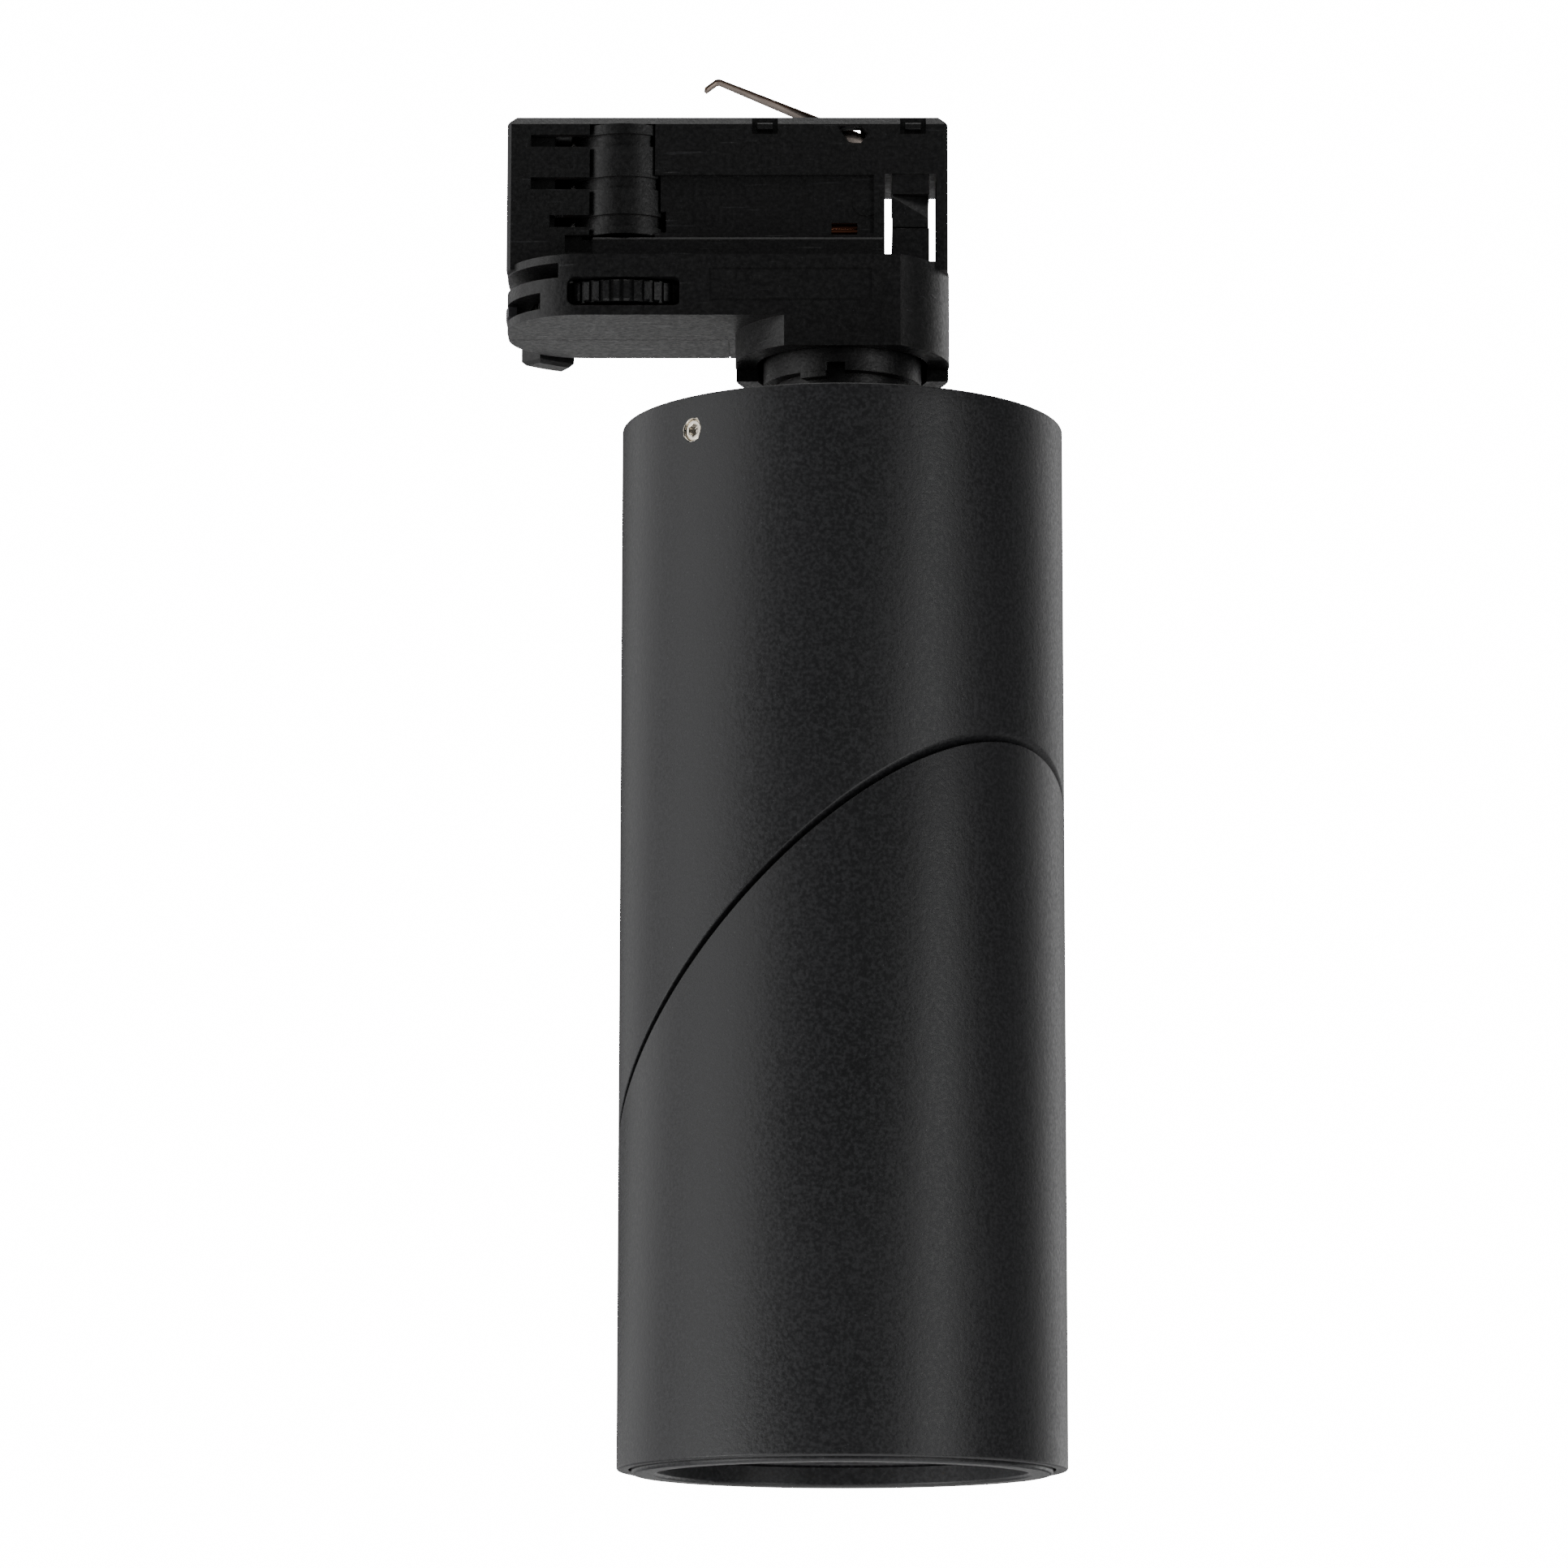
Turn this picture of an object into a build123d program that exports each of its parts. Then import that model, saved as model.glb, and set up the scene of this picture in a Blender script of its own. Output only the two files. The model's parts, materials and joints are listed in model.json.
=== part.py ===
from build123d import *
import os
from math import atan2, cos, degrees, pi, radians, sin, sqrt

# Track spotlight: a three-circuit track adapter and a cylindrical lamp in two halves that
# turn on an oblique cut. Millimetres. The origin is on the swivel axis at the seat plane,
# where the adapter's flange meets the track. X runs along the track, -Y is the front, +Z up.

# ---- adapter: the block that goes into the track, and the flange under it ----
block_left, block_right = -64.9, 20.4   # ends of the block along the track
block_half = 9.3                        # half thickness of the block
block_height = 29.9                     # from the seat plane to the top of the block
block_chamfer = 1.8
flange_half = 17.5                      # half width of the flange
flange_depth = 12.0                     # from the seat plane down to the flange's underside
flange_corner = 15.0                    # corner radius of the flange's free end
cup_radius = 20.75                      # round cup over the swivel
cup_front_depth = 18.0                  # rim of the cup on the front shell
cup_rear_depth = 20.3                   # rim of the cup on the rear shell
parting = 2.5                           # the shells meet this far behind the middle
wall = 1.8                              # moulded wall
edge_bevel = 0.8                        # bevel on the adapter's outer corners

# ---- phase selector and locking lever, on one axis near the free end ----
selector_x = -42.3
drum_radius = 10.5
drum_bottom, drum_top = 6.0, 27.9
window_left, window_right = -48.9, -36.9
window_bottom = 5.4
blade_levels = (24.75, 16.25, 8.7)      # middle heights of the three phase blades
blade_reaches = (14.5, 14.5, 12.2)      # tip radius of each blade
blade_width, blade_thickness = 6.0, 0.8
slot_height = 2.4                       # openings that the blades swing through
slot_left_ends = (-60.3, -60.3, -56.6)
dial_radius = 17.7
dial_bottom, dial_top = -9.2, -4.9
dial_ribs = 56
dial_rib_depth = 0.55
dial_window_left, dial_window_right = -52.8, -30.7
spindle_radius = 4.0
lever_disc_radius = 15.0
lever_bottom, lever_top = -4.1, -2.3
lever_slot_top = -1.6                   # roof of the pocket and groove that the lever turns in
lever_angle = 126.0                     # where the lever's tab stands, from +X
lever_travel = 90.0
tab_inner, tab_outer = 23.4, 28.6       # radii of the lever's outside tab
tab_bottom = -13.0
groove_end_angle = 234.0                # where the lever's groove ends on the front
detent_bottom, detent_top = -9.7, -7.8
running_gap = 0.05                      # radial clearance of a turning fit
slide_gap = 0.15                        # clearance of sliding pieces

# ---- lock: a slider turned by the lever pushes a tongue out of each side ----
lock_travel = 3.0                       # slider stroke for the lever's whole travel
lock_start_radius = 6.0                 # follower pin radius in the lever at rest
follower_radius = 1.2
slider_bottom, slider_top = -1.4, 0.2
slider_half = 8.4
tongue_travel = 3.0
tongue_pin_radius = 1.0
tongue_pin_start = 3.1                  # distance of each tongue's pin from the middle at rest
latch_left, latch_right = 9.6, 16.8
latch_side_gap = 1.4                    # open gap each side of the latch column
latch_top, latch_split_top, latch_split_bottom = 18.1, 14.0, 7.6
latch_sill = 1.9                        # underside of the guide block
tongue_ramp_drop, tongue_ramp_angle = 4.4, 24.0

# ---- swivel between adapter and lamp ----
ceiling_bottom, ceiling_top = -10.9, -7.6   # floor plate of the adapter over the cup
cup_bore = 16.6
nipple_radius, nipple_bore = 5.0, 3.6
collar_radius, collar_top, collar_bottom = 15.3, -11.1, -22.3
neck_radius = 13.0
stop_circle, stop_pin_radius, stop_groove_depth = 11.6, 1.2, 2.4
washer_thickness, nut_thickness = 1.2, 3.0
nut_flats = 14.0

# ---- lamp ----
housing_radius, housing_length, housing_wall = 42.5, 200.0, 2.3
housing_top = -31.3
cut_low_side = 49.8                     # low side of the cut above the lower end
cut_gap = 1.1                           # gap between the halves, square to the cut
cut_direction = -41.8                   # heading of the cut's high side, from +X
cap_thickness, cap_skirt = 4.0, 11.0
cap_skirt_wall = 5.0
grub_below_top = 6.6
grub_radius = 2.15
plate_thickness = 4.0
fit_gap = 0.1                           # clearance of parts that are fastened together
tube_radius, tube_bore = 8.0, 6.0
pivot_head_width = 5.0
pivot_head_thickness = 2.5
stop_radius, elbow_pin_radius = 24.0, 2.0
elbow_travel = 180.0
pivot_nut_wall = 2.0
plate_screw_edge = 6.7                  # plate screws' distance in from the housing's inside
driver_margin, driver_space = 7.2, 10.4 # beside the driver, and between it and the plate
bracket_thickness = 1.5
bezel_clearance, bezel_width, bezel_lip = 0.5, 4.7, 0.8
baffle_depth, baffle_ledge, baffle_wall = 14.0, 5.0, 1.2
bezel_height = 3.0
glass_overlap, glass_thickness, gasket_thickness = 2.0, 2.0, 1.0
reflector_depth, reflector_margin, reflector_throat = 13.0, 1.0, 9.5
reflector_wall = 1.0
board_radius, board_thickness, pad_thickness = 20.0, 1.6, 0.5
led_radius, led_height = 7.5, 0.9
holder_height = 3.2
sink_clearance, sink_base = 0.7, 6.0
fin_count, fin_thickness, fin_clearance = 9, 1.8, 7.0

# ---- worked out ----
end_z = housing_top - housing_length
cut_z = end_z + cut_low_side + housing_radius   # where the 45-degree cut crosses the axis
inner_radius = housing_radius - housing_wall
plate_screw_circle = inner_radius - plate_screw_edge
driver_radius = inner_radius - driver_margin
bezel_radius = inner_radius - bezel_clearance
bezel_inner = bezel_radius - bezel_width
baffle_inner = bezel_inner - baffle_ledge
glass_radius = baffle_inner + glass_overlap
reflector_mouth = baffle_inner - reflector_margin
sink_radius = inner_radius - sink_clearance
plate_high = cut_z + inner_radius + (cut_gap / 2 + plate_thickness) * sqrt(2)
driver_top = housing_top - cap_skirt - 0.15 - bracket_thickness
driver_height = driver_top - plate_high - driver_space
lamp_turn = Rot(0, 0, cut_direction)
cut_frame = Pos(0, 0, cut_z) * Rot(0, -45, 0)   # local Z square to the cut, before lamp_turn


def block(x0, x1, y0, y1, z0, z1):
    """Box between two corners."""
    return Pos((x0 + x1) / 2, (y0 + y1) / 2, (z0 + z1) / 2) * Box(x1 - x0, y1 - y0, z1 - z0)


def disc(radius, z0, z1, x=0, y=0):
    """Upright cylinder between two heights."""
    return Pos(x, y, (z0 + z1) / 2) * Cylinder(radius, z1 - z0)


def ring(outer, inner, z0, z1, x=0, y=0):
    """Upright tube between two heights."""
    return disc(outer, z0, z1, x, y) - disc(inner, z0 - 1, z1 + 1, x, y)


def rod_y(radius, x, z, y0, y1):
    """Cylinder along Y."""
    return Pos(x, (y0 + y1) / 2, z) * Rot(90, 0, 0) * Cylinder(radius, y1 - y0)


def polar(radius, angle):
    return radius * cos(radians(angle)), radius * sin(radians(angle))


def sector(radius, start, end, z0, z1, x=0, y=0):
    """Upright wedge of a cylinder between two angles."""
    corners = [(0, 0)]
    steps = max(2, int(abs(end - start) / 30) + 1)
    corners += [polar(radius * 2, start + (end - start) * i / steps) for i in range(steps + 1)]
    wedge = extrude(Polygon(*corners, align=None), z1 - z0)
    return (Pos(x, y, z0) * wedge) & disc(radius, z0, z1, x, y)


def revolve_profile(points):
    """Solid of revolution about Z from (radius, z) corners."""
    return revolve(make_face(Polyline(*[(r, 0, z) for r, z in points], close=True)), Axis.Z)


def hexagon(flats, z0, z1):
    return Pos(0, 0, z0) * extrude(RegularPolygon(flats / sqrt(3), 6), z1 - z0)


def flange_outline(z0, z1, grow=0.0):
    """The flange's plan: a straight bar with a round-cornered free end and a round cup end."""
    half = flange_half + grow
    bar = block(block_left - grow, 0, -half, half, z0, z1)
    bar = fillet(bar.edges().filter_by(Axis.Z).sort_by(Axis.X)[:2], flange_corner + grow)
    cup = disc(cup_radius + grow, z0, z1) & block(-cup_radius - 5, cup_radius + 5, -half, half, z0, z1)
    return bar + cup


def outer_body():
    """Adapter before it is hollowed and split: the block, the flange and the cup."""
    top = block(block_left, block_right, -block_half, block_half, -1, block_height)
    top = chamfer(top.edges().group_by(Axis.Z)[-1], block_chamfer)
    top = chamfer(top.edges().filter_by(Axis.Z), edge_bevel)
    flange = flange_outline(-flange_depth, 0)
    cup = disc(cup_radius, -cup_rear_depth, -flange_depth + 1)
    cup &= block(-40, 40, -flange_half, flange_half, -40, 0)
    cup -= block(-40, 40, -flange_half - 1, parting, -40, -cup_front_depth)
    return top + flange + cup


def selector_openings():
    """Room for the contact drum, its blades, the dial, the lever and its groove."""
    left_end = block_left + wall
    floor = drum_bottom - 0.7
    room = disc(max(blade_reaches) + 0.6, floor, block_height - wall, selector_x)
    room &= block(left_end, 0, -block_half + wall, block_half - wall, -1, 40)
    room += disc(drum_radius + 0.6, floor, block_height - wall, selector_x)
    for side in (-1, 1):
        y0, y1 = sorted((side * (block_half - wall - 0.5), side * (block_half + 1)))
        room += block(window_left, window_right, y0, y1, window_bottom, block_height - wall)
        for level, left in zip(blade_levels, slot_left_ends):
            z0, z1 = level - slot_height / 2, level + slot_height / 2
            room += block(left, window_left + 1, y0, y1, z0, z1)
    lower = disc(dial_radius + 0.35, -flange_depth + wall - 0.2, lever_bottom - 0.3, selector_x)
    keep = block(-90, 0, -flange_half + wall, flange_half - wall, -40, 40)
    room += lower & keep
    dial_window = block(
        dial_window_left, dial_window_right, -flange_half - 1, flange_half + 1,
        dial_bottom - 0.9, dial_top + 0.4,
    )
    dial_window = fillet(dial_window.edges().filter_by(Axis.Y), 1.7)
    room += dial_window & disc(dial_radius + 3, -12, 0, selector_x)
    room += disc(lever_disc_radius + 0.4, lever_bottom - 0.4, lever_slot_top, selector_x)
    groove = sector(40, lever_angle - 14, groove_end_angle, lever_bottom - 0.4, lever_slot_top, selector_x)
    room += groove
    slit = sector(40, 150, groove_end_angle - 10, -10.3, -7.1, selector_x)
    room += slit - disc(dial_radius + 0.2, -11, -5, selector_x)
    room += disc(spindle_radius + running_gap, lever_slot_top - 1, floor + 1, selector_x)
    return room


latch_x = (latch_left + latch_right) / 2
latch_room_left = latch_left - latch_side_gap
latch_room_right = latch_right + latch_side_gap
stem_half = 1.5
guide_end = block_half - 1.4            # inner face of the guide's feet
latch_floor = 0.7
slider_overhang = 2.3


def lock_openings():
    """Room for the slider, the latch column and its see-through gaps."""
    half = slider_half + slide_gap
    left = selector_x
    right = latch_x + slider_overhang + lock_travel + slide_gap
    room = block(left, right, -half, half, lever_slot_top - 0.01, slider_top + slide_gap)
    room += block(latch_room_left, latch_room_right, -20, 20, latch_floor, latch_top)
    slot = stem_half + slide_gap
    return room + block(latch_x - slot, latch_x + slot, -guide_end, guide_end, 0, 1)


def make_latch_guide():
    """Lower half of the latch column, slotted for the tongues' stems."""
    half, slot = block_half - 0.3, stem_half + slide_gap
    top = latch_split_bottom - 0.25
    guide = block(latch_left, latch_right, -half, half, latch_floor, top)
    guide -= block(latch_left - 1, latch_right + 1, -guide_end, guide_end, 0, latch_sill)
    return guide - block(latch_x - slot, latch_x + slot, -guide_end, guide_end, 0, 9)


def swivel_openings():
    """Cup bore, nipple hole and the nut's pocket."""
    room = disc(cup_bore, -cup_rear_depth - 1, ceiling_bottom)
    room += disc(nipple_radius + running_gap, -20, 0)
    room += disc(nut_flats * 0.68, ceiling_top, lever_slot_top)
    room += block(-24, 0, -6, 6, ceiling_top + 1.5, lever_slot_top - 0.8) & disc(24, -10, 0)
    return room


spring_root = (5.0, 26.9)
spring_angle = 157.2
spring_length = 31.9
spring_tip = 3.2
spring_tip_bend = 60.0
spring_thickness = 0.5
spring_width_root, spring_width_tip = 8.0, 3.5


def block_cavity():
    """Space in the block for the wiring, the terminals and the earth spring."""
    half = block_half - wall
    room = block(window_right + wall + 1.5, latch_room_left - wall, -half, half, 2.0, block_height - wall)
    slot = spring_width_root / 2 + 0.6
    left, right = spring_root[0] - spring_length - 4, spring_root[0] - 1.5
    room += block(left, right, -slot, slot, block_height - 3, block_height + 1)
    return room


screw_places = ((-61.4, 20.3), (-20.8, -6.2), (4.6, 12.5))
screw_radius, screw_head_radius = 1.25, 2.4


notch_middles = (-15.0, 13.7)


def face_details():
    """Shallow panel, contact windows, notches and blank frame on both faces of the block."""
    cut = None
    for side in (-1, 1):
        def at(x0, x1, z0, z1, depth, face=block_half):
            y0, y1 = sorted((side * (face - depth), side * (face + 1)))
            return block(x0, x1, y0, y1, z0, z1)
        marks = at(-37.0, 6.1, 6.3, 17.9, 0.8)
        marks += at(-36.9, -34.1, 6.6, 10.7, wall + 1)
        marks += at(-2.1, 2.9, 6.0, 8.5, wall + 1)
        marks += at(-53.6, window_left + 0.5, 2.4, 5.9, 1.6)
        for middle in notch_middles:
            marks += at(middle - 2.5, middle + 2.5, 26.1, 31, wall - 0.2) - at(
                middle - 1.5, middle + 1.5, 27.1, 28.4, wall - 0.5, block_half - 0.4)
        gem = Pos(2.0, side * block_half, 26.0) * Rot(90, 0, 0) * extrude(
            Polygon((-3, 1.7), (1.6, 1.7), (3, 0.2), (1.6, -1.7), (-0.6, -1.7), align=None), 3, both=True
        )
        marks += gem & block(-10, 10, *sorted((side * 5, side * 12)), 20, 29)
        cut = marks if cut is None else cut + marks
    return cut


def mouth_ledge():
    """Raised guide strip along both faces that centres the block in the track's mouth."""
    strips = None
    for side in (-1, 1):
        y0, y1 = sorted((side * (block_half - 0.5), side * (block_half + 1.4)))
        strip = block(window_left + 0.8, latch_room_left - 0.4, y0, y1, -0.5, 5.2)
        strip = chamfer(strip.edges().group_by(Axis.Z)[-1].filter_by(Axis.X).sort_by(
            Axis.Y)[0 if side < 0 else -1], 0.5)
        strips = strip if strips is None else strips + strip
    return strips


def make_shells():
    """Two moulded shells, parted behind the middle and screwed together from the back."""
    body = outer_body() + mouth_ledge()
    body -= selector_openings()
    body -= lock_openings()
    body -= swivel_openings()
    body -= block_cavity()
    body -= face_details()
    boss = rod_y(2.6, *screw_places[2], -block_half + 0.6, block_half - 0.6)
    half = block_half - 0.3
    nose = block(latch_left, latch_right, -half, half, latch_split_top + slide_gap, latch_top + 2)
    body = body + boss + nose
    for x, z in screw_places:
        far = flange_half if z < 0 else block_half
        body -= rod_y(screw_radius, x, z, -far + 2.2, far + 1)
        body -= rod_y(screw_head_radius + 0.1, x, z, far - 2.0, far + 1)
    body -= disc(stop_pin_radius, ceiling_bottom - 1, ceiling_bottom + 2, stop_circle)
    body -= block(-25.5, 5.6, -flange_half - 1, -flange_half + 0.12, -9.2, -2.7) - block(
        -25.1, 5.2, -flange_half - 2, -flange_half + 1, -8.8, -3.1
    )
    seam, line = 0.1, -flange_depth + 0.3
    body -= block(block_left - 1, -cup_radius + 0.5, parting - seam, parting + seam, -20, line)
    body -= block(-22.2, -22.0, parting, flange_half + 1, -20, line)
    front = body & block(-100, 60, -40, parting, -40, 60)
    rear = body & block(-100, 60, parting, 40, -40, 60)
    return front, rear


def make_shell_screws():
    """Three pan-head screws through the rear shell into bosses of the front shell."""
    screws = []
    for x, z in screw_places:
        far = flange_half if z < 0 else block_half
        shank = rod_y(screw_radius, x, z, -far + 2.3, far - 1.9)
        head = rod_y(screw_head_radius, x, z, far - 2.0, far - 0.3)
        slot = rod_y(1.0, x, z, far - 1.1, far)
        screws.append(shank + head - slot)
    return screws


def make_lever_detent():
    """Bent strip in the end slit that the lever's arm clicks against."""
    strip = flange_outline(detent_bottom, detent_top, 0.25) - flange_outline(-20, 5, -1.4)
    return strip & sector(40, 158, groove_end_angle - 36, -20, 5, selector_x)


def make_terminal_block():
    """Terminal block between the phase contacts and the swivel, with its wire holes."""
    left, right = window_right + 5.5, screw_places[2][0] - 3.6
    body = block(left, right, -5.2, 5.2, slider_top + 2.1, 14.0)
    for i in range(4):
        x = left + (right - left) * (i + 0.5) / 4
        body -= disc(1.7, 8.0, 15, x)
        body -= rod_y(1.2, x, 5.0, -6, 6)
    return body


def make_contact_strips():
    """Three fixed copper strips that lead from the contact drum to the terminals."""
    strips = []
    left = selector_x + drum_radius + 1.0
    right = left + 16.0
    for i in range(3):
        z = 15.2 + 2.6 * i
        strips.append(block(left, right, -4.5, 4.5, z, z + 0.6))
    return strips


def make_earth_strip():
    """Copper earth contact behind the little window in the recessed face."""
    near = -block_half + wall + 0.9
    bend = rod_y(0.6, 0, 0, 0, 6.0)
    blade = block(-2.6, 3.4, near, near + 0.6, 5.6, 9.0)
    return blade + Pos(-2.6, near, 7.3) * Rot(0, 0, -90) * bend


def make_earth_spring():
    """Leaf spring that presses the adapter down in the track and touches its roof."""
    x0, z0 = spring_root
    t = spring_thickness / 2
    leaf = Polygon(
        (0, -spring_width_root / 2), (spring_length, -spring_width_tip / 2),
        (spring_length, spring_width_tip / 2), (0, spring_width_root / 2), align=None,
    )
    leaf = Rot(0, -spring_angle, 0) * extrude(leaf, t, both=True)
    tip = Pos(spring_tip / 2, 0, 0) * Box(spring_tip, spring_width_tip, 2 * t)
    tip = Rot(0, -spring_angle - spring_tip_bend, 0) * tip
    run = radians(spring_angle)
    tip = Pos(spring_length * cos(run), 0, spring_length * sin(run)) * tip
    knee = Pos(spring_length * cos(run), 0, spring_length * sin(run)) * Rot(90, 0, 0) * Cylinder(
        t, spring_width_tip)
    eye = Rot(90, 0, 0) * Cylinder(0.9, spring_width_root)
    return Pos(x0, 0, z0) * (leaf + tip + knee + eye)


def spiral_slot(width, height, z0):
    """Slot whose radius grows evenly with angle, so the follower moves evenly with the lever."""
    rate = lock_travel / radians(lever_travel)
    steps = 24
    spare = degrees((follower_radius + slide_gap) / lock_start_radius) + 2.5
    turns = [radians(-spare + (lever_travel + 2 * spare) * i / steps) for i in range(steps + 1)]

    def side(sign):
        points = []
        for turn in turns:
            r = lock_start_radius + rate * turn
            x, y = r * cos(turn), -r * sin(turn)
            tx, ty = rate * cos(turn) - r * sin(turn), -rate * sin(turn) - r * cos(turn)
            n = sqrt(tx * tx + ty * ty)
            points.append((x - sign * ty / n * width / 2, y + sign * tx / n * width / 2))
        return points
    one, other = side(1), side(-1)
    outline = Spline(*one) + Line(one[-1], other[-1]) + Spline(*reversed(other)) + Line(other[0], one[0])
    return Pos(0, 0, z0) * extrude(make_face(outline), height)


def make_locking_lever():
    """Disc with a spiral slot, an arm through the groove and a tab outside the body."""
    z0, z1 = lever_bottom, lever_top
    lever = disc(lever_disc_radius, z0, z1)
    arm = sector(tab_outer, lever_angle - 7, lever_angle + 7, z0, z1)
    tab = sector(tab_outer, lever_angle - 9, lever_angle + 11, tab_bottom, z1)
    tab -= disc(tab_inner, tab_bottom - 1, z1 + 1)
    tab = chamfer(tab.edges().group_by(Axis.Z)[0], 0.7)
    lever = lever + arm + tab
    lever -= disc(spindle_radius + running_gap, z0 - 1, z1 + 1)
    lever -= spiral_slot(2 * (follower_radius + slide_gap), 6, z0 - 2)
    return Pos(selector_x, 0, 0) * lever


def make_lock_slider():
    """Flat slider with the follower pin, two slanted slots and a gap for the wires."""
    follower_x = selector_x + lock_start_radius
    left, right = follower_x - follower_radius - 0.4, latch_x + slider_overhang
    bar = block(left, right, -5.5, 5.5, slider_bottom, slider_top)
    bar += block(-9.0, right, -slider_half, slider_half, slider_bottom, slider_top)
    bar += disc(follower_radius, lever_bottom + 0.2, slider_bottom + 0.1, follower_x)
    bar -= Pos(-lock_travel / 2, 0, -5) * extrude(SlotOverall(13.0, 7.0), 10)
    spare = 0.3
    for side in (-1, 1):
        x0, y0 = latch_x + spare, tongue_pin_start - spare * tongue_travel / lock_travel
        run = lock_travel + 2 * spare
        rise = run * tongue_travel / lock_travel
        slot = SlotCenterToCenter(sqrt(run * run + rise * rise), 2 * (tongue_pin_radius + slide_gap))
        place = Pos(x0 - run / 2, side * (y0 + rise / 2), -5) * Rot(0, 0, -side * degrees(atan2(rise, run)))
        bar -= place * extrude(slot, 10)
    return bar


def make_latch_tongue(side):
    """Wedge that comes out of one face under the track's lip, with its stem and pin."""
    outer = block_half - 0.35
    tongue = block(latch_left + slide_gap, latch_right - slide_gap, 0.25, outer,
                   latch_split_bottom, latch_split_top)
    width, drop = latch_right - latch_left, tongue_ramp_drop
    lean = radians(tongue_ramp_angle)
    across = sqrt(width * width + drop * drop)
    slope = (sin(lean) * drop / across, cos(lean), sin(lean) * width / across)
    ramp = Plane(origin=(latch_left, outer, latch_split_top - 0.4), z_dir=slope)
    tongue -= ramp * Pos(0, 0, 10) * Box(40, 40, 20)
    tongue += block(latch_x - stem_half, latch_x + stem_half, tongue_pin_start - 1.4,
                    tongue_pin_start + 1.4, slider_top + 0.3, latch_split_bottom)
    tongue += disc(tongue_pin_radius, slider_bottom + 0.1, slider_top + 0.4, latch_x, tongue_pin_start)
    return tongue if side > 0 else mirror(tongue, Plane.XZ)


def make_contact_drum():
    """Insulating drum on its spindle, grooved for the phase blades."""
    drum = disc(drum_radius, drum_bottom, drum_top)
    for z in blade_levels:
        drum -= ring(drum_radius + 1, drum_radius - 0.7, z - slot_height / 2, z + slot_height / 2)
        drum -= block(-20, 0, -blade_width / 2 - fit_gap, blade_width / 2 + fit_gap,
                      z - blade_thickness / 2 - fit_gap, z + blade_thickness / 2 + fit_gap)
    drum += disc(spindle_radius, dial_top, drum_bottom)
    return Pos(selector_x, 0, 0) * drum


def make_contact_blades():
    """Three copper blades, one above the other, that meet the track's conductors."""
    blades = []
    for z, reach in zip(blade_levels, blade_reaches):
        z0, z1 = z - blade_thickness / 2, z + blade_thickness / 2
        blade = block(-reach, -1, -blade_width / 2, blade_width / 2, z0, z1) & disc(reach, z0, z1)
        blades.append(Pos(selector_x, 0, 0) * blade)
    return blades


def make_phase_dial():
    """Ribbed thumbwheel that turns the drum, with its lower pivot."""
    dial = disc(dial_radius, dial_bottom, dial_top)
    dial = chamfer(dial.edges().filter_by(GeomType.CIRCLE), 0.4)
    pitch = 2 * pi * dial_radius / dial_ribs
    groove = block(dial_radius - dial_rib_depth, dial_radius + 2, -pitch * 0.22, pitch * 0.22, -20, 0)
    for i in range(dial_ribs):
        dial -= Rot(0, 0, 360 * i / dial_ribs) * groove
    dial += disc(spindle_radius, -flange_depth + wall - 0.1, dial_bottom)
    return Pos(selector_x, 0, 0) * dial


def make_swivel_stop_pin():
    """Pin under the adapter's floor that limits the swivel."""
    return disc(stop_pin_radius, ceiling_bottom - 2.0, ceiling_bottom + 1.9, stop_circle)


def make_nipple():
    """Hollow threaded tube that carries the lamp and lets the wires through."""
    top = ceiling_top + washer_thickness + nut_thickness + 0.5
    return ring(nipple_radius, nipple_bore, housing_top - cap_thickness - nut_thickness - 0.6, top)


def make_swivel_nut():
    z0 = ceiling_top + washer_thickness + 0.05
    return hexagon(nut_flats, z0, z0 + nut_thickness) - disc(nipple_radius + fit_gap / 2, -20, 0)


def make_swivel_washer():
    """Wave washer that gives the swivel its friction."""
    return ring(
        nut_flats / 2 + 1.0, nipple_radius + fit_gap, ceiling_top + 0.1, ceiling_top + washer_thickness)


def make_swivel_collar():
    """Collar under the cup, with the groove and lug that stop the swivel and a raised rim key."""
    collar = disc(collar_radius, collar_bottom, collar_top) + disc(neck_radius, housing_top, collar_bottom)
    collar = chamfer(collar.edges().filter_by(GeomType.CIRCLE).group_by(Axis.Z)[-1], 0.5)
    groove = ring(stop_circle + stop_pin_radius + 0.3, stop_circle - stop_pin_radius - 0.3,
                  collar_top - stop_groove_depth, collar_top + 1)
    groove -= sector(40, 176, 184, -30, 0)
    collar -= groove
    key = ring(collar_radius - 0.1, neck_radius - 1, collar_bottom - 1.1, collar_bottom + 1)
    collar += key & sector(40, -122, -102, -40, 0)
    collar -= ring(collar_radius + 1, neck_radius, collar_bottom - 1, collar_bottom + 1.6) & sector(
        40, -101, -88, -40, 0)
    return collar - disc(nipple_radius + fit_gap / 2, -40, 0)


def make_cap_nut():
    z1 = housing_top - cap_thickness - 0.05
    return hexagon(nut_flats, z1 - nut_thickness, z1) - disc(nipple_radius + fit_gap / 2, -60, 0)


def make_top_cap():
    """Disc that closes the upper housing, with a skirt that the grub screws hold."""
    r = inner_radius - fit_gap / 2
    cap = disc(r, housing_top - cap_skirt, housing_top)
    cap -= disc(r - cap_skirt_wall, housing_top - cap_skirt - 1, housing_top - cap_thickness)
    cap -= disc(nipple_radius + fit_gap / 2, -60, 0)
    for angle in (30, 150, 270):
        cap -= disc(1.3, -60, housing_top - 1.5, *polar(22, angle))
    return cap - grub_holes(grub_radius + fit_gap / 2)


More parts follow.
